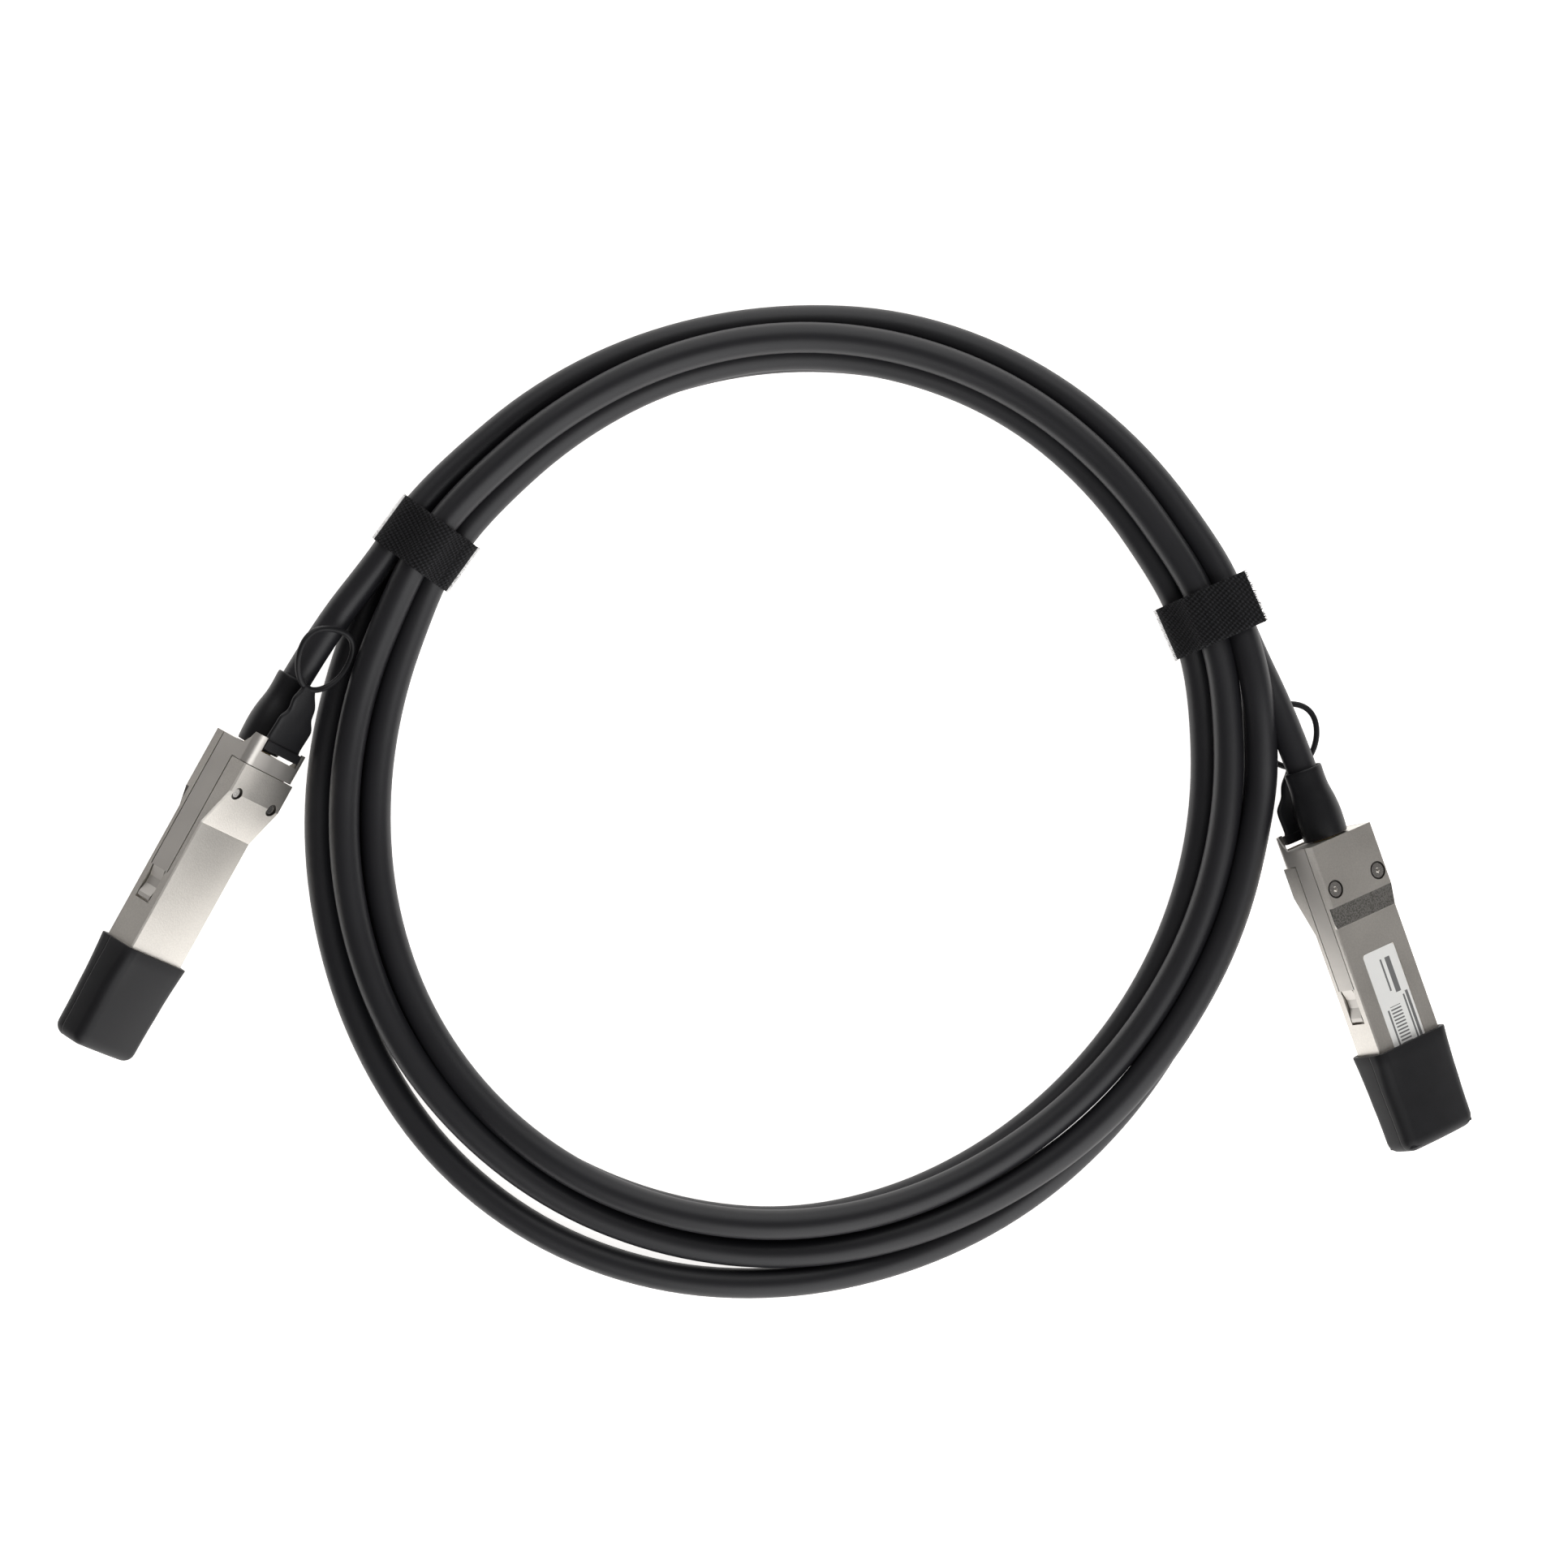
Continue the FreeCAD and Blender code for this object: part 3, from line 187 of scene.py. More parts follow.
# ---------------------------------------------------------------- shader maths
class Sock:
    """A shader value that Python's own operators work on."""

    def __init__(self, look, socket):
        self.look = look
        self.socket = socket

    def _maths(self, operation, other=None):
        inputs = {0: self} if other is None else {0: self, 1: other}
        return self.look.node("ShaderNodeMath", {"operation": operation}, inputs)

    def __add__(self, other):
        return self._maths("ADD", other)

    __radd__ = __add__

    def __sub__(self, other):
        return self._maths("SUBTRACT", other)

    def __rsub__(self, other):
        return self.look.node("ShaderNodeMath", {"operation": "SUBTRACT"}, {0: other, 1: self})

    def __mul__(self, other):
        return self._maths("MULTIPLY", other)

    __rmul__ = __mul__

    def __truediv__(self, other):
        return self._maths("DIVIDE", other)

    def __lt__(self, other):
        return self._maths("LESS_THAN", other)

    def __gt__(self, other):
        return self._maths("GREATER_THAN", other)

    def __abs__(self):
        return self._maths("ABSOLUTE")

    def between(self, low, high):
        """1 between two bounds, else 0."""
        return (self > low) * (self < high)

    def clamp(self):
        return self.look.node("ShaderNodeClamp", {}, {0: self})

    def smooth(self, low, high):
        """0 below low, 1 above high, smooth between."""
        return self.look.node("ShaderNodeMapRange", {"interpolation_type": "SMOOTHSTEP"},
                              {"Value": self, "From Min": low, "From Max": high})

    def sine(self):
        return self._maths("SINE")

    def fraction(self):
        return self._maths("FRACT")


class Look:
    """One material under construction."""

    def __init__(self, name):
        self.material = bpy.data.materials.new(name)
        self.material.use_nodes = True
        self.tree = self.material.node_tree
        self.tree.nodes.clear()
        self.out = self.tree.nodes.new("ShaderNodeOutputMaterial")
        self.shader = self.tree.nodes.new("ShaderNodeBsdfPrincipled")
        self.tree.links.new(self.shader.outputs[0], self.out.inputs["Surface"])
        self.coords = None

    def node(self, kind, settings, values, out=0):
        """Adds a node: settings first, then the values or links of its sockets."""
        made = self.tree.nodes.new(kind)
        for key, value in settings.items():
            setattr(made, key, value)
        for key, value in values.items():
            self.feed(made.inputs[key], value)
        return Sock(self, made.outputs[out])

    def feed(self, socket, value):
        if isinstance(value, Sock):
            self.tree.links.new(value.socket, socket)
        elif isinstance(value, (tuple, list)) and len(value) == 3 and socket.type == "RGBA":
            socket.default_value = (*value, 1.0)
        else:
            socket.default_value = value

    def set(self, **values):
        """Feeds the main shader, with underscores for the spaces in its socket names."""
        for key, value in values.items():
            self.feed(self.shader.inputs[key.replace("_", " ")], value)

    def object_coords(self):
        if self.coords is None:
            self.coords = self.node("ShaderNodeTexCoord", {}, {}, out="Object")
        return self.coords

    def local_axis(self, origin, direction):
        """Distance along a direction from a point, in the units of the object."""
        moved = self.node("ShaderNodeVectorMath", {"operation": "SUBTRACT"},
                          {0: self.object_coords(), 1: origin})
        return self.node("ShaderNodeVectorMath", {"operation": "DOT_PRODUCT"},
                         {0: moved, 1: direction}, out="Value")

    def noise(self, scale, detail=2.0, roughness=0.5):
        return self.node("ShaderNodeTexNoise", {},
                         {"Vector": self.object_coords(), "Scale": scale, "Detail": detail,
                          "Roughness": roughness})

    def mix(self, factor, a, b):
        """A colour between a and b: the node's colour sockets are inputs 6 and 7 and output 2."""
        made = self.tree.nodes.new("ShaderNodeMix")
        made.data_type = "RGBA"
        self.feed(made.inputs["Factor"], factor)
        self.feed(made.inputs[6], a)
        self.feed(made.inputs[7], b)
        return Sock(self, made.outputs[2])

    def bump(self, height, distance, strength):
        return self.node("ShaderNodeBump", {},
                         {"Height": height, "Distance": distance, "Strength": strength})


def tone(colour, factor):
    """A lighter or darker colour."""
    return tuple(min(1.0, c * factor) for c in colour)


# ---------------------------------------------------------------- places
def plug_matrix(side):
    """Takes a point in a plug's own frame, in mm, to the row frame in metres."""
    (heading, pitch, roll), rear = PLUGS[side]
    turn = (Matrix.Rotation(math.radians(heading), 4, "Z") @ Matrix.Rotation(math.radians(pitch), 4, "Y")
            @ Matrix.Rotation(math.radians(roll), 4, "X"))
    return Matrix.Scale(MM, 4) @ Matrix.Translation(rear) @ turn


def plug_distances(look, side):
    """Shader distances along, across and up a plug from its own origin, in mm."""
    matrix = plug_matrix(side)
    axes = matrix.to_3x3().col
    return [look.local_axis(tuple(matrix.translation), tuple(axes[i].normalized())) / MM for i in range(3)]


def coil_point(angle, radius, height):
    """A point of the coil in the row frame, in mm."""
    a = math.radians(angle)
    return COIL_CENTRE + Vector((radius * math.cos(a), radius * math.sin(a), height))


# ---------------------------------------------------------------- making pieces
def add_mesh(name, bm, material, body, crease=None):
    """Turns a bmesh into a piece that rides on a body; edges over the crease angle stay sharp."""
    mesh = bpy.data.meshes.new(name)
    bm.to_mesh(mesh)
    bm.free()
    mesh.materials.append(material)
    for polygon in mesh.polygons:
        polygon.use_smooth = True
    if crease is not None:
        mesh.set_sharp_from_angle(angle=math.radians(crease))
    piece = bpy.data.objects.new(name, mesh)
    bpy.context.scene.collection.objects.link(piece)
    if body:
        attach(piece, body)
    return piece


def refine(piece, levels):
    """Rounds a piece with a subdivision surface."""
    modifier = piece.modifiers.new("rounding", "SUBSURF")
    modifier.levels = levels
    modifier.render_levels = levels
    return piece


def edges_where(bm, test):
    """The edges whose two ends pass a test."""
    return [e for e in bm.edges if test(e.verts[0].co, e.verts[1].co)]


def round_off(bm, edges, radius, segments):
    """Rounds edges off with a bevel."""
    bmesh.ops.bevel(bm, geom=edges, offset=radius, segments=segments, profile=0.5, affect="EDGES",
                    material=-1)


def spin_round(bm, profile, axis, steps):
    """Turns a closed profile once round an axis through the origin."""
    bmesh.ops.spin(bm, geom=profile, cent=(0, 0, 0), axis=axis, angle=2.0 * math.pi, steps=steps,
                   use_merge=True, use_duplicate=False)
    bmesh.ops.remove_doubles(bm, verts=bm.verts, dist=1e-4)


def ease(t):
    """0 below 0, 1 above 1, smooth between."""
    t = min(1.0, max(0.0, t))
    return t * t * (3.0 - 2.0 * t)


def dress(names, material):
    """Gives CAD nodes their finish."""
    for name in names:
        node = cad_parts[name]
        node.data.materials.clear()
        node.data.materials.append(material)


# ---------------------------------------------------------------- finishes
def jacket_look(colour):
    """Smooth plastic with a faint mottle, fine grain and dull scuffs."""
    look = Look("jacket_pvc")
    mottle = look.noise(90.0, 3.0)
    grain = look.noise(2600.0, 2.0)
    scuff = look.noise(26.0, 4.0, 0.6).smooth(0.55, 0.8)
    look.set(Base_Color=look.mix(mottle, tone(colour, 0.9), tone(colour, 1.15)),
             Roughness=0.42 + 0.06 * mottle + 0.05 * scuff, Specular_IOR_Level=0.44,
             Normal=look.bump(grain, 0.00002, 0.35))
    return look.material


def rubber_look(name, colour, roughness):
    """Matt moulding with a fine grain."""
    look = Look(name)
    mottle = look.noise(240.0, 3.0)
    grain = look.noise(3800.0, 2.0)
    look.set(Base_Color=look.mix(mottle, tone(colour, 0.85), tone(colour, 1.2)),
             Roughness=roughness + 0.08 * mottle, Specular_IOR_Level=0.26,
             Normal=look.bump(grain, 0.00002, 0.5))
    return look.material


def cap_look(side, colour):
    """Soft matt rubber with a fine parting line round the cap."""
    look = Look("soft_cap_" + side)
    _, _, height = plug_distances(look, side)
    mottle = look.noise(240.0, 3.0)
    grain = look.noise(3800.0, 2.0)
    parting = 1.0 - abs(height - PARTING_Z).smooth(0.05, 0.22)
    look.set(Base_Color=look.mix(mottle, tone(colour, 0.85), tone(colour, 1.2)), Specular_IOR_Level=0.26,
             Roughness=0.46 + 0.08 * mottle - 0.12 * parting,
             Normal=look.bump(grain * 0.5 - 3.0 * parting, 0.00004, 0.7))
    return look.material


def cast_look(side, colour):
    """Nickel-plated casting, with a blasted band on the lower ramp and painted shade on the walls of the
    screw holes.
    """
    look = Look("cast_nickel_" + side)
    along, across, height = plug_distances(look, side)
    cloud = look.noise(70.0, 4.0, 0.6)
    grain = look.noise(5200.0, 3.0, 0.6)
    band = along.between(*BLASTED_X) * (height < 0.02)
    speckle = look.noise(2600.0, 2.0, 0.6).smooth(0.42, 0.62)
    # painted shade: the casting turns nearly black on the walls of the holes round the screws, where shade
    # falls in them
    from_x = along - SCREW_X
    from_y = abs(across) - SCREW_Y
    reach = from_x * from_x + from_y * from_y
    hole_shade = sum((reach < radius * radius) * height.between(low, high) for radius, low, high in SCREW_HOLE_SHADE)
    fleck = look.noise(2300.0, 2.0, 0.6).smooth(0.3, 0.7)
    base = look.mix(cloud * 0.6 + fleck * 0.4, tone(colour, 0.9), tone(colour, 1.08))
    base = look.mix(band * (0.86 + 0.12 * speckle), base, tone(colour, 0.10))
    base = look.mix(hole_shade.clamp() * 0.85, base, tone(colour, 0.08))
    look.set(Base_Color=base, Metallic=1.0, Roughness=0.36 + 0.08 * cloud + 0.16 * band,
             Normal=look.bump(grain * 0.6 + fleck * 0.8 + 1.6 * band * speckle, 0.00002, 0.6))
    return look.material


def stamped_look(name, colour, roughness):
    """Rolled or plated metal, a little cloudy."""
    look = Look(name)
    cloud = look.noise(110.0, 3.0)
    grain = look.noise(4200.0, 2.0)
    look.set(Base_Color=look.mix(cloud, tone(colour, 0.95), tone(colour, 1.05)), Metallic=1.0,
             Roughness=roughness + 0.08 * cloud, Normal=look.bump(grain, 0.00001, 0.4))
    return look.material


def card_look(side, colour):
    """Green solder mask that ends in gold contacts at the nose."""
    look = Look("solder_mask_" + side)
    along, _, _ = plug_distances(look, side)
    gold = along.smooth(*GOLD_X)
    mask = look.mix(look.noise(900.0, 2.0), tone(colour, 0.85), tone(colour, 1.15))
    look.set(Base_Color=look.mix(gold, mask, (0.83, 0.62, 0.28)), Metallic=gold,
             Roughness=0.38 - 0.1 * gold)
    return look.material


def label_look(side, paper, ink):
    """White film with plain bars where a maker would print."""
    look = Look("label_film_" + side)
    along, across, _ = plug_distances(look, side)
    bars = sum(across.between(y0, y1) * along.between(x0, x1) for y0, y1, x0, x1 in LABEL_BARS)
    y0, y1, x0, x1 = LABEL_STRIPES
    stripe = (along / STRIPE_PITCH).fraction() < STRIPE_SHARE
    bars = bars + across.between(y0, y1) * along.between(x0, x1) * stripe
    fibre = look.noise(700.0, 2.0)
    look.set(Base_Color=look.mix(bars.clamp() * 0.85, look.mix(fibre, tone(paper, 0.97), paper), ink),
             Roughness=0.42)
    return look.material


def woven_look(colour):
    """Woven tape: two slanting sets of threads that cross, with fuzz over them."""
    look = Look("woven_tape")
    uv = look.node("ShaderNodeUVMap", {"uv_map": "UVMap"}, {})
    parts = look.tree.nodes.new("ShaderNodeSeparateXYZ")
    look.feed(parts.inputs[0], uv)
    u, v = Sock(look, parts.outputs[0]), Sock(look, parts.outputs[1])
    thread = math.pi / TAPE_THREAD
    ribs = ((u + v * 0.5) * thread).sine() * ((v - u * 0.15) * thread).sine()
    fuzz = look.noise(2200.0, 3.0, 0.7)
    height = ribs * 0.7 + fuzz * 0.8
    look.set(Base_Color=look.mix((ribs * 0.8 + fuzz * 0.6).clamp(), tone(colour, 0.5), tone(colour, 3.4)),
             Roughness=0.85, Specular_IOR_Level=0.25, Normal=look.bump(height, 0.00014, 0.9))
    return look.material


def floor_look(colour):
    """White paper with a glow of its own, so that it stays white under soft light."""
    look = Look("bench_paper")
    look.set(Base_Color=look.mix(look.noise(4.0, 2.0), tone(colour, 0.995), colour), Roughness=0.85,
             Specular_IOR_Level=0.2, Emission_Color=(1.0, 0.98, 0.96), Emission_Strength=0.9)
    return look.material


# ---------------------------------------------------------------- settings
class CableSettings(bpy.types.PropertyGroup):
    diameter: FloatProperty(name="Cable diameter", description="Diameter of the jacket",
                            default=7.0 * MM, unit="LENGTH")
    jacket: FloatVectorProperty(name="Jacket", description="Colour of the cable's jacket", subtype="COLOR",
                                size=3, default=(0.0125, 0.0125, 0.015))
    moulding: FloatVectorProperty(name="Mouldings", description="Colour of caps, boots and tabs",
                                  subtype="COLOR", size=3, default=(0.011, 0.011, 0.0125))
    casting: FloatVectorProperty(name="Casting", description="Colour of the plated shells", subtype="COLOR",
                                 size=3, default=(0.75, 0.72, 0.672))
    tape: FloatVectorProperty(name="Tape", description="Colour of the hook-and-loop ties", subtype="COLOR",
                              size=3, default=(0.009, 0.009, 0.010))
    tape_width: FloatProperty(name="Tape width", description="Width of each tie",
                              default=12.4 * MM, unit="LENGTH")
    tape_thickness: FloatProperty(name="Tape thickness", description="Thickness of one layer of woven tape",
                                  default=0.62 * MM, unit="LENGTH")
    bristles: IntProperty(name="Bristles", description="Loose hairs at each tie's cut end", default=170)


def settings():
    return bpy.context.scene.cable_settings


# ---------------------------------------------------------------- operators
class CABLE_OT_cord(bpy.types.Operator):
    """Lay the cable from plug to plug through all the turns of its coil"""

    bl_idname = "cable.cord"
    bl_label = "Cable"

    def execute(self, context):
        opts = settings()
        points = [Vector(p) + ORIGIN for p in LEFT_LEAD]
        for half_turn in HALF_TURNS:
            for angle, radius, height in half_turn:
                points.append(coil_point(angle, radius * CORNER_CUT, height))
        points += [Vector(p) + ORIGIN for p in RIGHT_LEAD]
        curve = bpy.data.curves.new("cable", "CURVE")
        curve.dimensions = "3D"
        spline = curve.splines.new("NURBS")
        spline.points.add(len(points) - 1)
        for point, place in zip(spline.points, points):
            point.co = (*(place * MM), 1.0)
        spline.order_u = 3
        spline.use_endpoint_u = True
        spline.resolution_u = 8
        curve.bevel_depth = opts.diameter / 2.0
        curve.bevel_resolution = 7
        curve.use_fill_caps = True
        curve.materials.append(jacket_look(opts.jacket))
        cable = bpy.data.objects.new("cable", curve)
        bpy.context.scene.collection.objects.link(cable)
        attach(cable, "assembly")
        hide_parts("cable_coil", "left_lead", "right_lead")
        return {"FINISHED"}


def hull_outline(centres, radius):
    """Points of a band pulled round circles of one radius, anticlockwise in (radius, height)."""
    def turn(a, b, c):
        """Above 0 where a, b and c turn anticlockwise."""
        return (b[0] - a[0]) * (c[1] - a[1]) - (b[1] - a[1]) * (c[0] - a[0])
    hull = []
    for ordered in (sorted(centres), sorted(centres, reverse=True)):
        part = []
        for p in ordered:
            while len(part) > 1 and turn(part[-2], part[-1], p) <= 0:
                part.pop()
            part.append(p)
        hull += part[:-1]
    outline = []
    for i, (s, z) in enumerate(hull):
        (s0, z0), (s1, z1) = hull[i - 1], hull[(i + 1) % len(hull)]
        first = math.atan2(-(s - s0), z - z0)
        last = math.atan2(-(s1 - s), z1 - z)
        if last < first:
            last += 2.0 * math.pi
        count = max(2, int(radius * (last - first) / OUTLINE_STEP))
        for k in range(count + 1):
            a = first + (last - first) * k / count
            outline.append((s + radius * math.cos(a), z + radius * math.sin(a)))
        run = math.hypot(s1 - s, z1 - z)
        start = outline[-1]
        normal = (math.cos(last), math.sin(last))
        steps = int(run / OUTLINE_STEP)
        for k in range(1, steps):
            t = k / steps
            sag = min(SAG_SHARE * run, SAG_MOST) * math.sin(math.pi * t)
            outline.append((start[0] + (s1 - s) * t - normal[0] * sag,
                            start[1] + (z1 - z) * t - normal[1] * sag))
    return outline


def strands_at(angle):
    """Distance and height of every turn at one angle round the coil."""
    return [(radius, height) for half_turn in HALF_TURNS for a, radius, height in half_turn
            if a == angle]


class CABLE_OT_ties(bpy.types.Operator):
    """Wrap the two hook-and-loop ties round the bundle"""

    bl_idname = "cable.ties"
    bl_label = "Hook-and-loop ties"

    def execute(self, context):
        opts = settings()
        tape = woven_look(opts.tape)
        hair = rubber_look("tie_hooks", (0.02, 0.02, 0.022), 0.5)
        for name in TIES:
            self.wrap(name, tape, hair)
        return {"FINISHED"}

    def route(self, name, thick):
        """The tape's line as (distance, height, layer), and the middle of what it holds."""
        angle, start_at, lap, flap = TIES[name]
        radius = settings().diameter / MM / 2.0 + TIE_SLACK + thick / 2.0
        ring = hull_outline(strands_at(angle), radius)
        if flap:
            ring.reverse()      # a tie with a free end winds the other way
        nearest = min(range(len(ring)), key=lambda i: math.dist(ring[i], start_at))
        ring = ring[nearest:] + ring[:nearest]
        centre = (sum(s for s, z in ring) / len(ring), sum(z for s, z in ring) / len(ring))
        path = [(s, z, 0.0) for s, z in ring]
        total = 0.0
        i = 0
        while total < lap:
            s, z = ring[i]
            s1, z1 = ring[(i + 1) % len(ring)]
            total += math.hypot(s1 - s, z1 - z)
            lift = thick * 1.02 * min(1.0, total / LAP_RISE + 0.35)
            out = Vector((s - centre[0], z - centre[1])).normalized()
            path.append((s + out.x * lift, z + out.y * lift, 1.0))
            i += 1
        if flap:
            (s0, z0, _), (s1, z1, _) = path[-3], path[-1]
            run = Vector((s1 - s0, z1 - z0)).normalized()
            for k in range(1, FLAP_STEPS + 1):
                path.append((s1 + run.x * flap * k / FLAP_STEPS, z1 + run.y * flap * k / FLAP_STEPS, 1.0))
        return path, centre

    def wrap(self, name, tape, hair):
        """Lays one tape round the strands, over its own start and out to its free end."""
        opts = settings()
        thick = opts.tape_thickness / MM
        width = opts.tape_width / MM
        path, centre = self.route(name, thick)
        a = math.radians(TIES[name][0])
        radial, tangent = Vector((math.cos(a), math.sin(a), 0)), Vector((-math.sin(a), math.cos(a), 0))
        lengths = [0.0]
        for (s0, z0, _), (s1, z1, _) in zip(path, path[1:]):
            lengths.append(lengths[-1] + math.hypot(s1 - s0, z1 - z0))
        bm = bmesh.new()
        rows = len(path) - 1
        bmesh.ops.create_grid(bm, x_segments=12, y_segments=rows, size=0.5)
        uv_layer = bm.loops.layers.uv.new("UVMap")
        for face in bm.faces:
            for loop in face.loops:
                row = round((loop.vert.co.y + 0.5) * rows)
                loop[uv_layer].uv = ((loop.vert.co.x + 0.5) * width, lengths[row])
        for vert in bm.verts:
            across = vert.co.x
            s, z, _ = path[round((vert.co.y + 0.5) * rows)]
            curl = TAPE_CURL * abs(2.0 * across) ** 6
            place = COIL_CENTRE + radial * s + tangent * across * width + Vector((0, 0, z - curl))
            vert.co = place * MM
        bmesh.ops.recalc_face_normals(bm, faces=bm.faces)
        piece = add_mesh(name + "_tape", bm, tape, "assembly")
        solid = piece.modifiers.new("thickness", "SOLIDIFY")
        solid.thickness = opts.tape_thickness
        solid.offset = 0.0
        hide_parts(name)
        self.hooks(name, path, lengths, centre, radial, tangent, width, thick, hair)

    def hooks(self, name, path, lengths, centre, radial, tangent, width, thick, hair):
        """Rows of small hooks on the outer face, none where the lap covers it, and a frayed end."""
        rng = random.Random(len(name))
        bm = bmesh.new()
        row_pitch, column = HOOK_PITCH
        lapped = sum(1 for p in path if p[2] > 0.0)
        covered = min(lapped, len(path) - lapped)
        reach = 0.0
        row = 0
        for i in range(1, len(path)):
            reach += lengths[i] - lengths[i - 1]
            if reach < row_pitch:
                continue
            reach = 0.0
            row += 1
            if i < covered:
                continue
            s, z, _ = path[i]
            before = path[i - 1]
            along = Vector((s - before[0], z - before[1])).normalized()
            out = Vector((along.y, -along.x))
            if out.dot(Vector((s - centre[0], z - centre[1]))) < 0.0:
                out = -out
            count = int(width / column)
            for k in range(count + 1):
                w = (k + 0.5 * (row % 2)) * column - width / 2.0
                if abs(w) > width / 2.0:
                    continue
                normal = radial * out.x + Vector((0, 0, out.y))
                base = COIL_CENTRE + radial * s + tangent * w + Vector((0, 0, z)) + normal * thick * 0.45
                lean = (radial * along.x + Vector((0, 0, along.y))) * rng.uniform(-0.12, 0.3)
                lean += tangent * rng.uniform(-0.12, 0.12)
                self.bristle(bm, base, normal + lean, rng.uniform(*HOOK_HEIGHT), HOOK_R)
        s, z, _ = path[-1]
        s0, z0, _ = path[-5]
        tail = Vector((s - s0, z - z0)).normalized()
        for _ in range(settings().bristles):
            w = (rng.random() - 0.5) * width
            level = z + rng.uniform(-0.4, 0.4) * thick
            base = COIL_CENTRE + radial * s + tangent * w + Vector((0, 0, level))
            run = radial * tail.x + Vector((0, 0, tail.y)) + tangent * rng.uniform(-0.7, 0.7)
            run += Vector((0, 0, rng.uniform(-0.5, 0.5)))
            self.bristle(bm, base, run, rng.uniform(*FRAY_LENGTH), FRAY_R)
        add_mesh(name + "_hooks", bm, hair, "assembly")

    def bristle(self, bm, base, run, height, radius):
        """One stiff hair, thinner at its tip and clear of the bench."""
        run = run.normalized()
        if (base + run * height).z < BENCH_CLEAR:
            return
        stand = run.to_track_quat("Z", "Y").to_matrix().to_4x4()
        place = Matrix.Translation((base + run * height / 2.0) * MM) @ stand
        bmesh.ops.create_cone(bm, cap_ends=True, segments=3, radius1=radius * MM, radius2=radius * 0.45 * MM,
                              depth=height * MM, matrix=place)


class CABLE_OT_caps(bpy.types.Operator):
    """Slip a soft cap over each mating end"""

    bl_idname = "cable.caps"
    bl_label = "Dust caps"

    def execute(self, context):
        for side in CAPS:
            bm = bmesh.new()
            self.block(bm, side)
            self.hollow(bm, side)
            bmesh.ops.recalc_face_normals(bm, faces=bm.faces)
            bmesh.ops.transform(bm, matrix=plug_matrix(side), verts=bm.verts)
            finish = cap_look(side, settings().moulding)
            cap = add_mesh(side + "_soft_cap", bm, finish, side + "_cap", 40.0)
            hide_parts(side + "_dust_cap")
        return {"FINISHED"}

    def block(self, bm, side):
        """The cap's outside: a tapered block with dished faces, swollen sides and round edges."""
        seat, length, _ = CAPS[side]
        end = seat + length
        half = BODY_HALF_W + CAP_FIT + CAP_WALL
        low, high = -CAP_FIT - CAP_WALL, BODY_H + CAP_FIT + CAP_WALL
        middle = (low + high) / 2.0
        bmesh.ops.create_cube(bm, size=1.0)
        for vert in bm.verts:
            closed = vert.co.x > 0.0
            y = half - CAP_TAPER[0] * closed
            z = (high - low) / 2.0 - CAP_TAPER[1] * closed
            vert.co = Vector((end if closed else seat, math.copysign(y, vert.co.y),
                              middle + math.copysign(z, vert.co.z)))
        cut = edges_where(bm, lambda a, b: abs(a.z - b.z) < 1.0)
        bmesh.ops.subdivide_edges(bm, edges=cut, cuts=7, use_grid_fill=True)
        for vert in bm.verts:
            t = (vert.co.x - seat) / length
            off_centre = vert.co.y / half
            dish = CAP_DISH * off_centre * off_centre * ease(2.5 * t)
            vert.co.z -= math.copysign(dish, vert.co.z - middle)
            if abs(vert.co.y) > CAP_SIDE_Y:
                swell = CAP_BULGE[0] * math.sin(math.pi * min(1.0, 1.25 * t)) - CAP_BULGE[1]
                vert.co.y += math.copysign(swell, vert.co.y)
        long_ones = edges_where(bm, lambda a, b: abs(a.x - b.x) > 1.0
                                and min(abs(a.y), abs(b.y)) > CAP_SIDE_Y)
        bm.normal_update()
        round_off(bm, long_ones, CAP_CORNER_R, 5)
        bm.normal_update()
        rim = [e for e in bm.edges if all(v.co.x > end - 0.01 for v in e.verts)
               and any(f.normal.x < 0.9 for f in e.link_faces)]
        round_off(bm, rim, CAP_END_R, 6)

    def hollow(self, bm, side):
        """The room for the plug's nose, open at the cap's mouth."""
        seat, _, bottom = CAPS[side]
        mouth = [f for f in bm.faces if all(abs(v.co.x - seat) < 0.01 for v in f.verts)]
        mouth = bmesh.ops.dissolve_faces(bm, faces=mouth)["region"]
        bmesh.ops.inset_region(bm, faces=mouth, thickness=CAP_WALL - CAP_BULGE[1])
        walls = bmesh.ops.extrude_face_region(bm, geom=mouth)
        for item in walls["geom"]:
            if isinstance(item, bmesh.types.BMVert):
                item.co.x = bottom
        bmesh.ops.delete(bm, geom=mouth, context="FACES_ONLY")
        lip = edges_where(bm, lambda a, b: abs(a.x - seat) < 0.01 and abs(b.x - seat) < 0.01)
        round_off(bm, lip, CAP_LIP_R, 2)


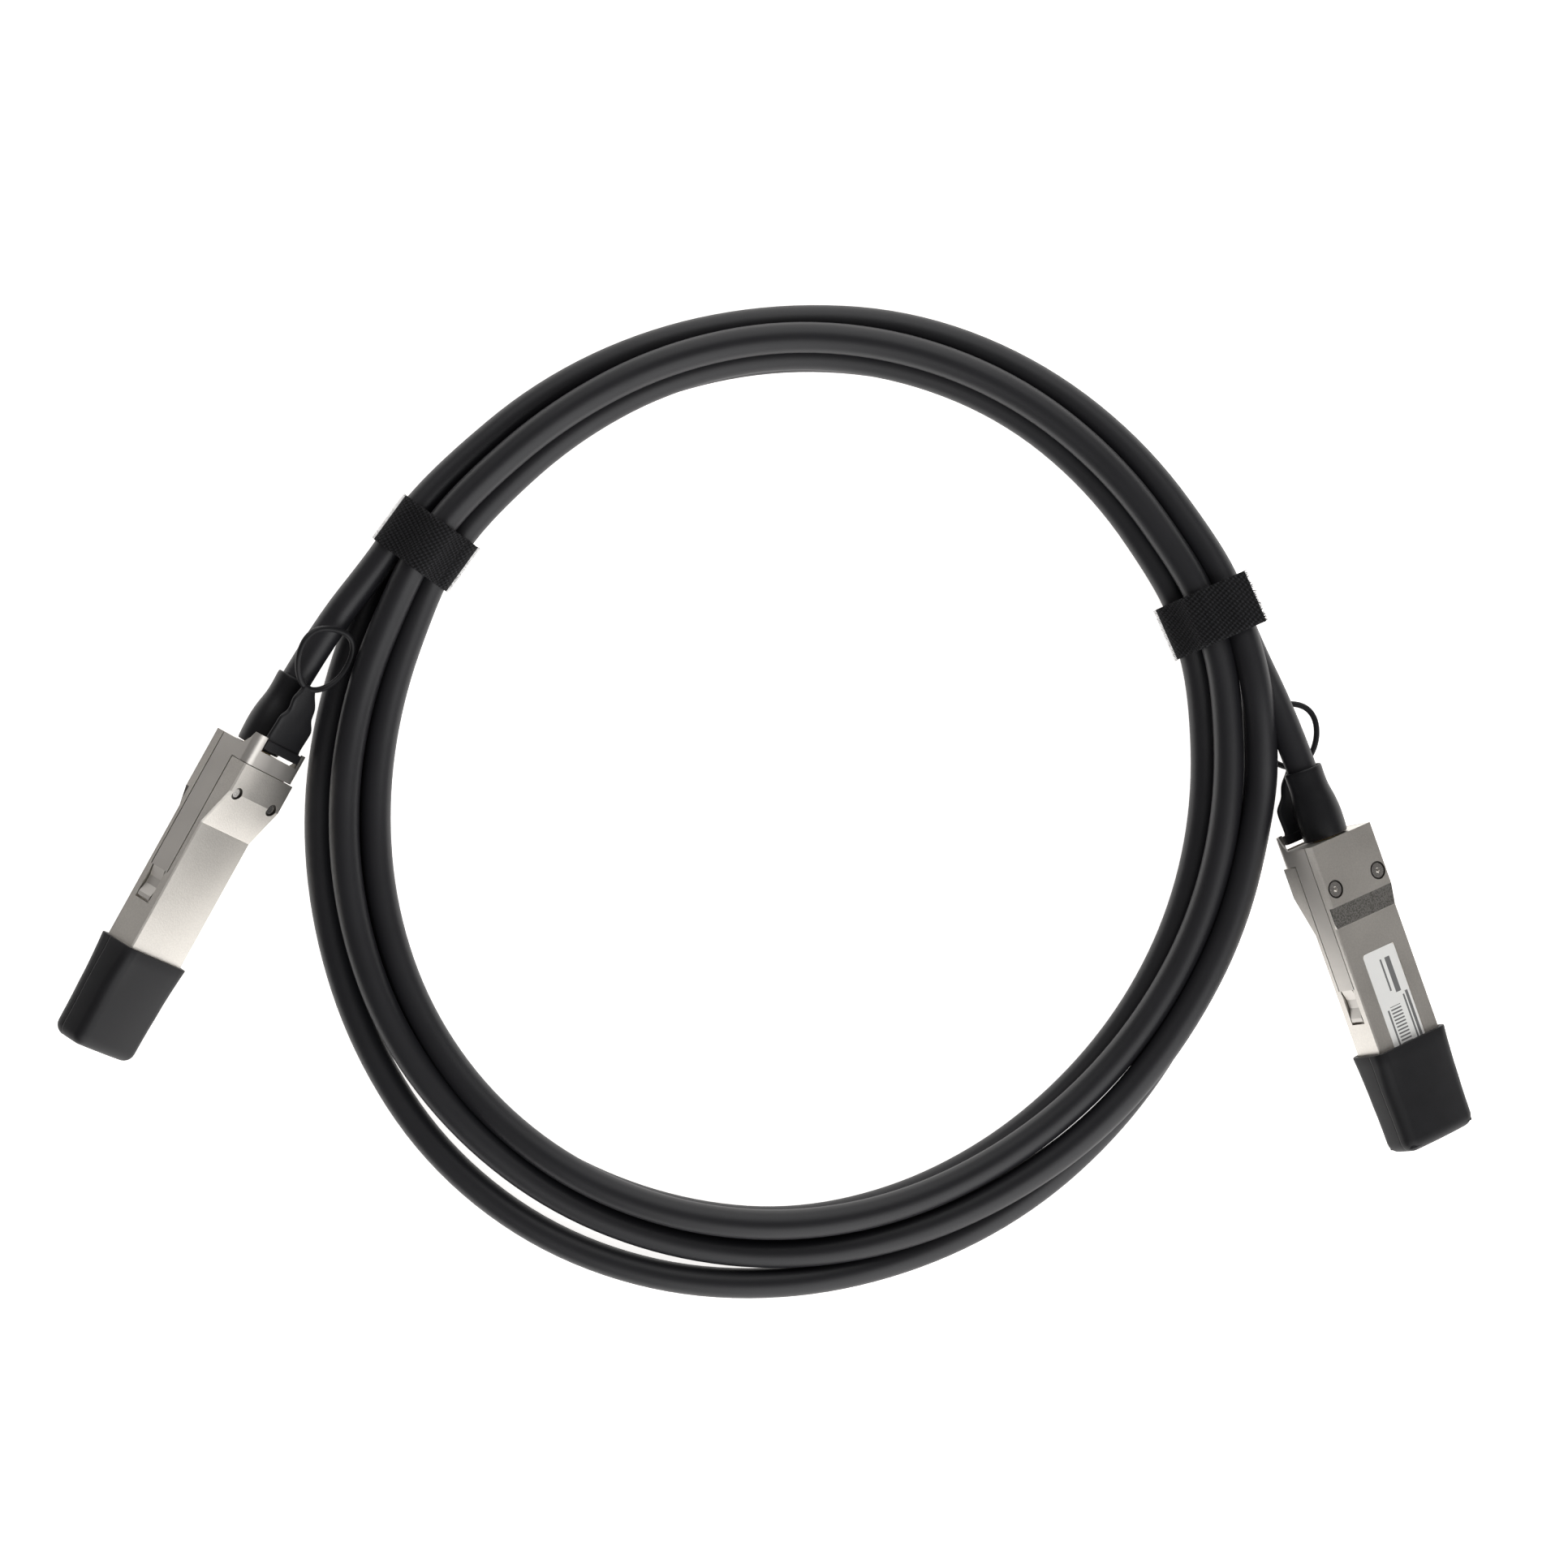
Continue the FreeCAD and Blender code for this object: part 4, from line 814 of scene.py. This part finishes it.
class CABLE_OT_boots(bpy.types.Operator):
    """Shrink a boot over each cable entry"""

    bl_idname = "cable.boots"
    bl_label = "Strain relief boots"

    def execute(self, context):
        sleeve = rubber_look("shrunk_sleeve", tone(settings().moulding, 0.9), 0.36)
        bore = settings().diameter / MM / 2.0 + BOOT_BORE_FIT
        for side, (length, rim) in BOOTS.items():
            # the sleeve's wall as (x, radius), from its rim to the shells
            profile = ((-length, bore), (-length - 0.02, rim - 0.35), (-length + 0.12, rim - 0.05),
                       (-length + 0.6, rim), (-length * 0.82, rim - 0.08), (-length * 0.68, rim + 0.02),
                       (-length * 0.56, rim + 0.5), (-length * 0.45, 5.15), (-length * 0.33, 5.34),
                       (-length * 0.18, 5.3), (-1.2, 5.2), (BOOT_FRONT - 0.02, 5.12), (BOOT_FRONT, 4.9),
                       (BOOT_FRONT, bore))
            bm = bmesh.new()
            corners = [bm.verts.new((x, r, 0.0)) for x, r in profile]
            ring = [bm.edges.new((a, b)) for a, b in zip(corners, corners[1:] + corners[:1])]
            spin_round(bm, corners + ring, (1, 0, 0), 32)
            bmesh.ops.recalc_face_normals(bm, faces=bm.faces)
            place = plug_matrix(side) @ Matrix.Translation((0, 0, CABLE_AXIS_Z))
            bmesh.ops.transform(bm, matrix=place, verts=bm.verts)
            boot = refine(add_mesh(side + "_sleeve", bm, sleeve, "assembly"), 1)
            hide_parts(side + "_boot")
        return {"FINISHED"}


class CABLE_OT_tabs(bpy.types.Operator):
    """Mould a pull tab, with its strap and finger ring, to each latch"""

    bl_idname = "cable.tabs"
    bl_label = "Pull tabs"

    def execute(self, context):
        moulded = rubber_look("moulded_tab", settings().moulding, 0.40)
        for side, (centre, tilt) in RINGS.items():
            bm = bmesh.new()
            self.strap(bm, centre)
            self.foot(bm)
            tab = self.mould(side + "_strap", bm, side, moulded, 2)
            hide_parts(side + "_pull_tab")
            bm = bmesh.new()
            self.ring(bm, centre, tilt)
            self.mould(side + "_finger_ring", bm, side, moulded, 1)
        return {"FINISHED"}

    def mould(self, name, bm, side, material, levels):
        """Carries a form to its plug and lets it ride on the latch."""
        bmesh.ops.recalc_face_normals(bm, faces=bm.faces)
        bmesh.ops.transform(bm, matrix=plug_matrix(side), verts=bm.verts)
        return refine(add_mesh(name, bm, material, side + "_latch"), levels)

    def strap(self, bm, centre):
        """A waisted strap that rises and leans towards the ring."""
        root = centre[0] + STRAP_REACH
        made = bmesh.ops.create_grid(bm, x_segments=30, y_segments=8, size=0.5)
        for vert in made["verts"]:
            along, across = vert.co.x + 0.5, 2.0 * vert.co.y
            x = STRAP_START + (root - STRAP_START) * along
            half = STRAP_HALF_W - sum(step * ease((at - x) / run) for at, run, step in STRAP_WAIST)
            half += STRAP_HEAD[1] * (x > STRAP_HEAD[0])
            lean = centre[1] * ease((STRAP_LEAN_X - x) / STRAP_BEND_RUN)
            rise = (centre[2] - STRAP_Z) * ease((STRAP_RISE_X - x) / STRAP_BEND_RUN)
            crown = STRAP_CROWN * (1.0 - across * across)
            vert.co = Vector((x, across * half + lean, STRAP_Z + rise + crown))
        bmesh.ops.solidify(bm, geom=bm.faces[:], thickness=STRAP_T)
        # it thickens downwards, so this brings the middle back to its height
        for vert in bm.verts:
            vert.co.z += STRAP_T / 2.0

    def foot(self, bm):
        """The thicker foot that the latch band holds."""
        made = bmesh.ops.create_cube(bm, size=1.0)
        for vert in made["verts"]:
            vert.co = FOOT_CENTRE + vert.co * FOOT_SIZE
        around = [e for e in bm.edges if e.verts[0] in made["verts"] and e.verts[1] in made["verts"]]
        round_off(bm, around, FOOT_EDGE_R, 2)

    def ring(self, bm, centre, tilt):
        """A round cord bent to an egg, with its narrow end at the strap."""
        made = bmesh.ops.create_circle(bm, segments=12, radius=RING_CORD_R,
                                       matrix=Matrix.Rotation(math.pi / 2.0, 4, "X"))
        bmesh.ops.translate(bm, vec=(RING_R, 0, 0), verts=made["verts"])
        spin_round(bm, bm.verts[:] + bm.edges[:], (0, 0, 1), 40)
        for vert in bm.verts:
            angle = math.atan2(vert.co.y, vert.co.x)
            shift = 0.0
            for bearing, height in RING_SWELLS:
                turn = (angle - math.radians(bearing) + math.pi) % (2.0 * math.pi) - math.pi
                shift += height * math.exp(-(turn / SWELL_SPREAD) ** 2)
            vert.co += Vector((math.cos(angle), math.sin(angle), 0.0)) * shift
        place = Matrix.Translation(centre) @ Matrix.Rotation(math.radians(tilt), 4, "X")
        bmesh.ops.transform(bm, matrix=place, verts=bm.verts)


class CABLE_OT_plugs(bpy.types.Operator):
    """Finish every piece of both plugs"""

    bl_idname = "cable.plugs"
    bl_label = "Plug finishes"

    def execute(self, context):
        opts = settings()
        stamped = stamped_look("stamped_strip", (0.66, 0.635, 0.60), 0.40)
        bright = stamped_look("bright_plating", (0.80, 0.78, 0.75), 0.22)
        brass = stamped_look("brass_ferrule", (0.72, 0.58, 0.32), 0.3)
        foil = stamped_look("pair_foil", (0.78, 0.78, 0.80), 0.25)
        package = rubber_look("chip_package", (0.02, 0.02, 0.022), 0.5)
        for side in PLUGS:
            cast = cast_look(side, opts.casting)
            dress([side + "_bottom_shell", side + "_top_shell"], cast)
            dress([side + "_latch_slider"], stamped)
            dress([side + "_shell_screws", side + "_return_springs"], bright)
            dress([side + "_crimp_ferrule"], brass)
            dress([side + "_twinax_pairs"], foil)
            dress([side + "_memory_chip"], package)
            dress([side + "_paddle_card"], card_look(side, (0.03, 0.16, 0.08)))
            dress([side + "_label"], label_look(side, (0.85, 0.85, 0.83), (0.05, 0.05, 0.055)))
        return {"FINISHED"}


class CABLE_OT_stage(bpy.types.Operator):
    """Pale bench, soft studio light and the camera straight above"""

    bl_idname = "cable.stage"
    bl_label = "Stage"

    def execute(self, context):
        bm = bmesh.new()
        bmesh.ops.create_grid(bm, x_segments=1, y_segments=1, size=FLOOR_SIZE)
        floor = add_mesh("bench", bm, floor_look((0.95, 0.95, 0.95)), None)
        centre = ORIGIN * MM
        camera_data = bpy.data.cameras.new("camera")
        camera_data.sensor_width = SENSOR_MM
        camera_data.sensor_height = SENSOR_MM
        camera_data.angle = 2.0 * math.atan(VIEW_WIDTH / 2.0 / CAMERA_HEIGHT)
        camera_data.clip_end = 20.0
        camera = bpy.data.objects.new("camera", camera_data)
        camera.location = centre + Vector((0, 0, CAMERA_HEIGHT))
        bpy.context.scene.collection.objects.link(camera)
        bpy.context.scene.camera = camera
        for name, (place, size, power) in LIGHTS.items():
            light_data = bpy.data.lights.new(name, "AREA")
            light_data.size = size
            light_data.energy = power
            light = bpy.data.objects.new(name, light_data)
            light.location = centre + Vector(place)
            light.rotation_euler = (centre - light.location).to_track_quat("-Z", "Y").to_euler()
            bpy.context.scene.collection.objects.link(light)
        world = bpy.data.worlds.new("studio")
        world.use_nodes = True
        sky = world.node_tree.nodes["Background"]
        sky.inputs["Color"].default_value = WORLD_COLOUR
        sky.inputs["Strength"].default_value = WORLD_STRENGTH
        bpy.context.scene.world = world
        bpy.context.scene.view_settings.view_transform = "Standard"
        return {"FINISHED"}


class CABLE_PT_panel(bpy.types.Panel):
    """Sizes, colours and steps of the cable"""

    bl_idname = "CABLE_PT_panel"
    bl_label = "Direct attach cable"
    bl_space_type = "VIEW_3D"
    bl_region_type = "UI"
    bl_category = "Cable"

    def draw(self, context):
        opts = context.scene.cable_settings
        for name in ("diameter", "jacket", "moulding", "casting", "tape", "tape_width",
                     "tape_thickness", "bristles"):
            self.layout.prop(opts, name)
        for operator in OPERATORS:
            self.layout.operator(operator.bl_idname)


OPERATORS = (CABLE_OT_cord, CABLE_OT_ties, CABLE_OT_caps, CABLE_OT_boots, CABLE_OT_tabs, CABLE_OT_plugs,
             CABLE_OT_stage)
CLASSES = (CableSettings,) + OPERATORS + (CABLE_PT_panel,)


def register():
    for cls in CLASSES:
        bpy.utils.register_class(cls)
    bpy.types.Scene.cable_settings = PointerProperty(type=CableSettings)


def unregister():
    del bpy.types.Scene.cable_settings
    for cls in reversed(CLASSES):
        bpy.utils.unregister_class(cls)


def main():
    register()
    bpy.ops.cable.cord()
    bpy.ops.cable.ties()
    bpy.ops.cable.caps()
    bpy.ops.cable.boots()
    bpy.ops.cable.tabs()
    bpy.ops.cable.plugs()
    bpy.ops.cable.stage()
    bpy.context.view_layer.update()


if __name__ == "__main__":
    main()
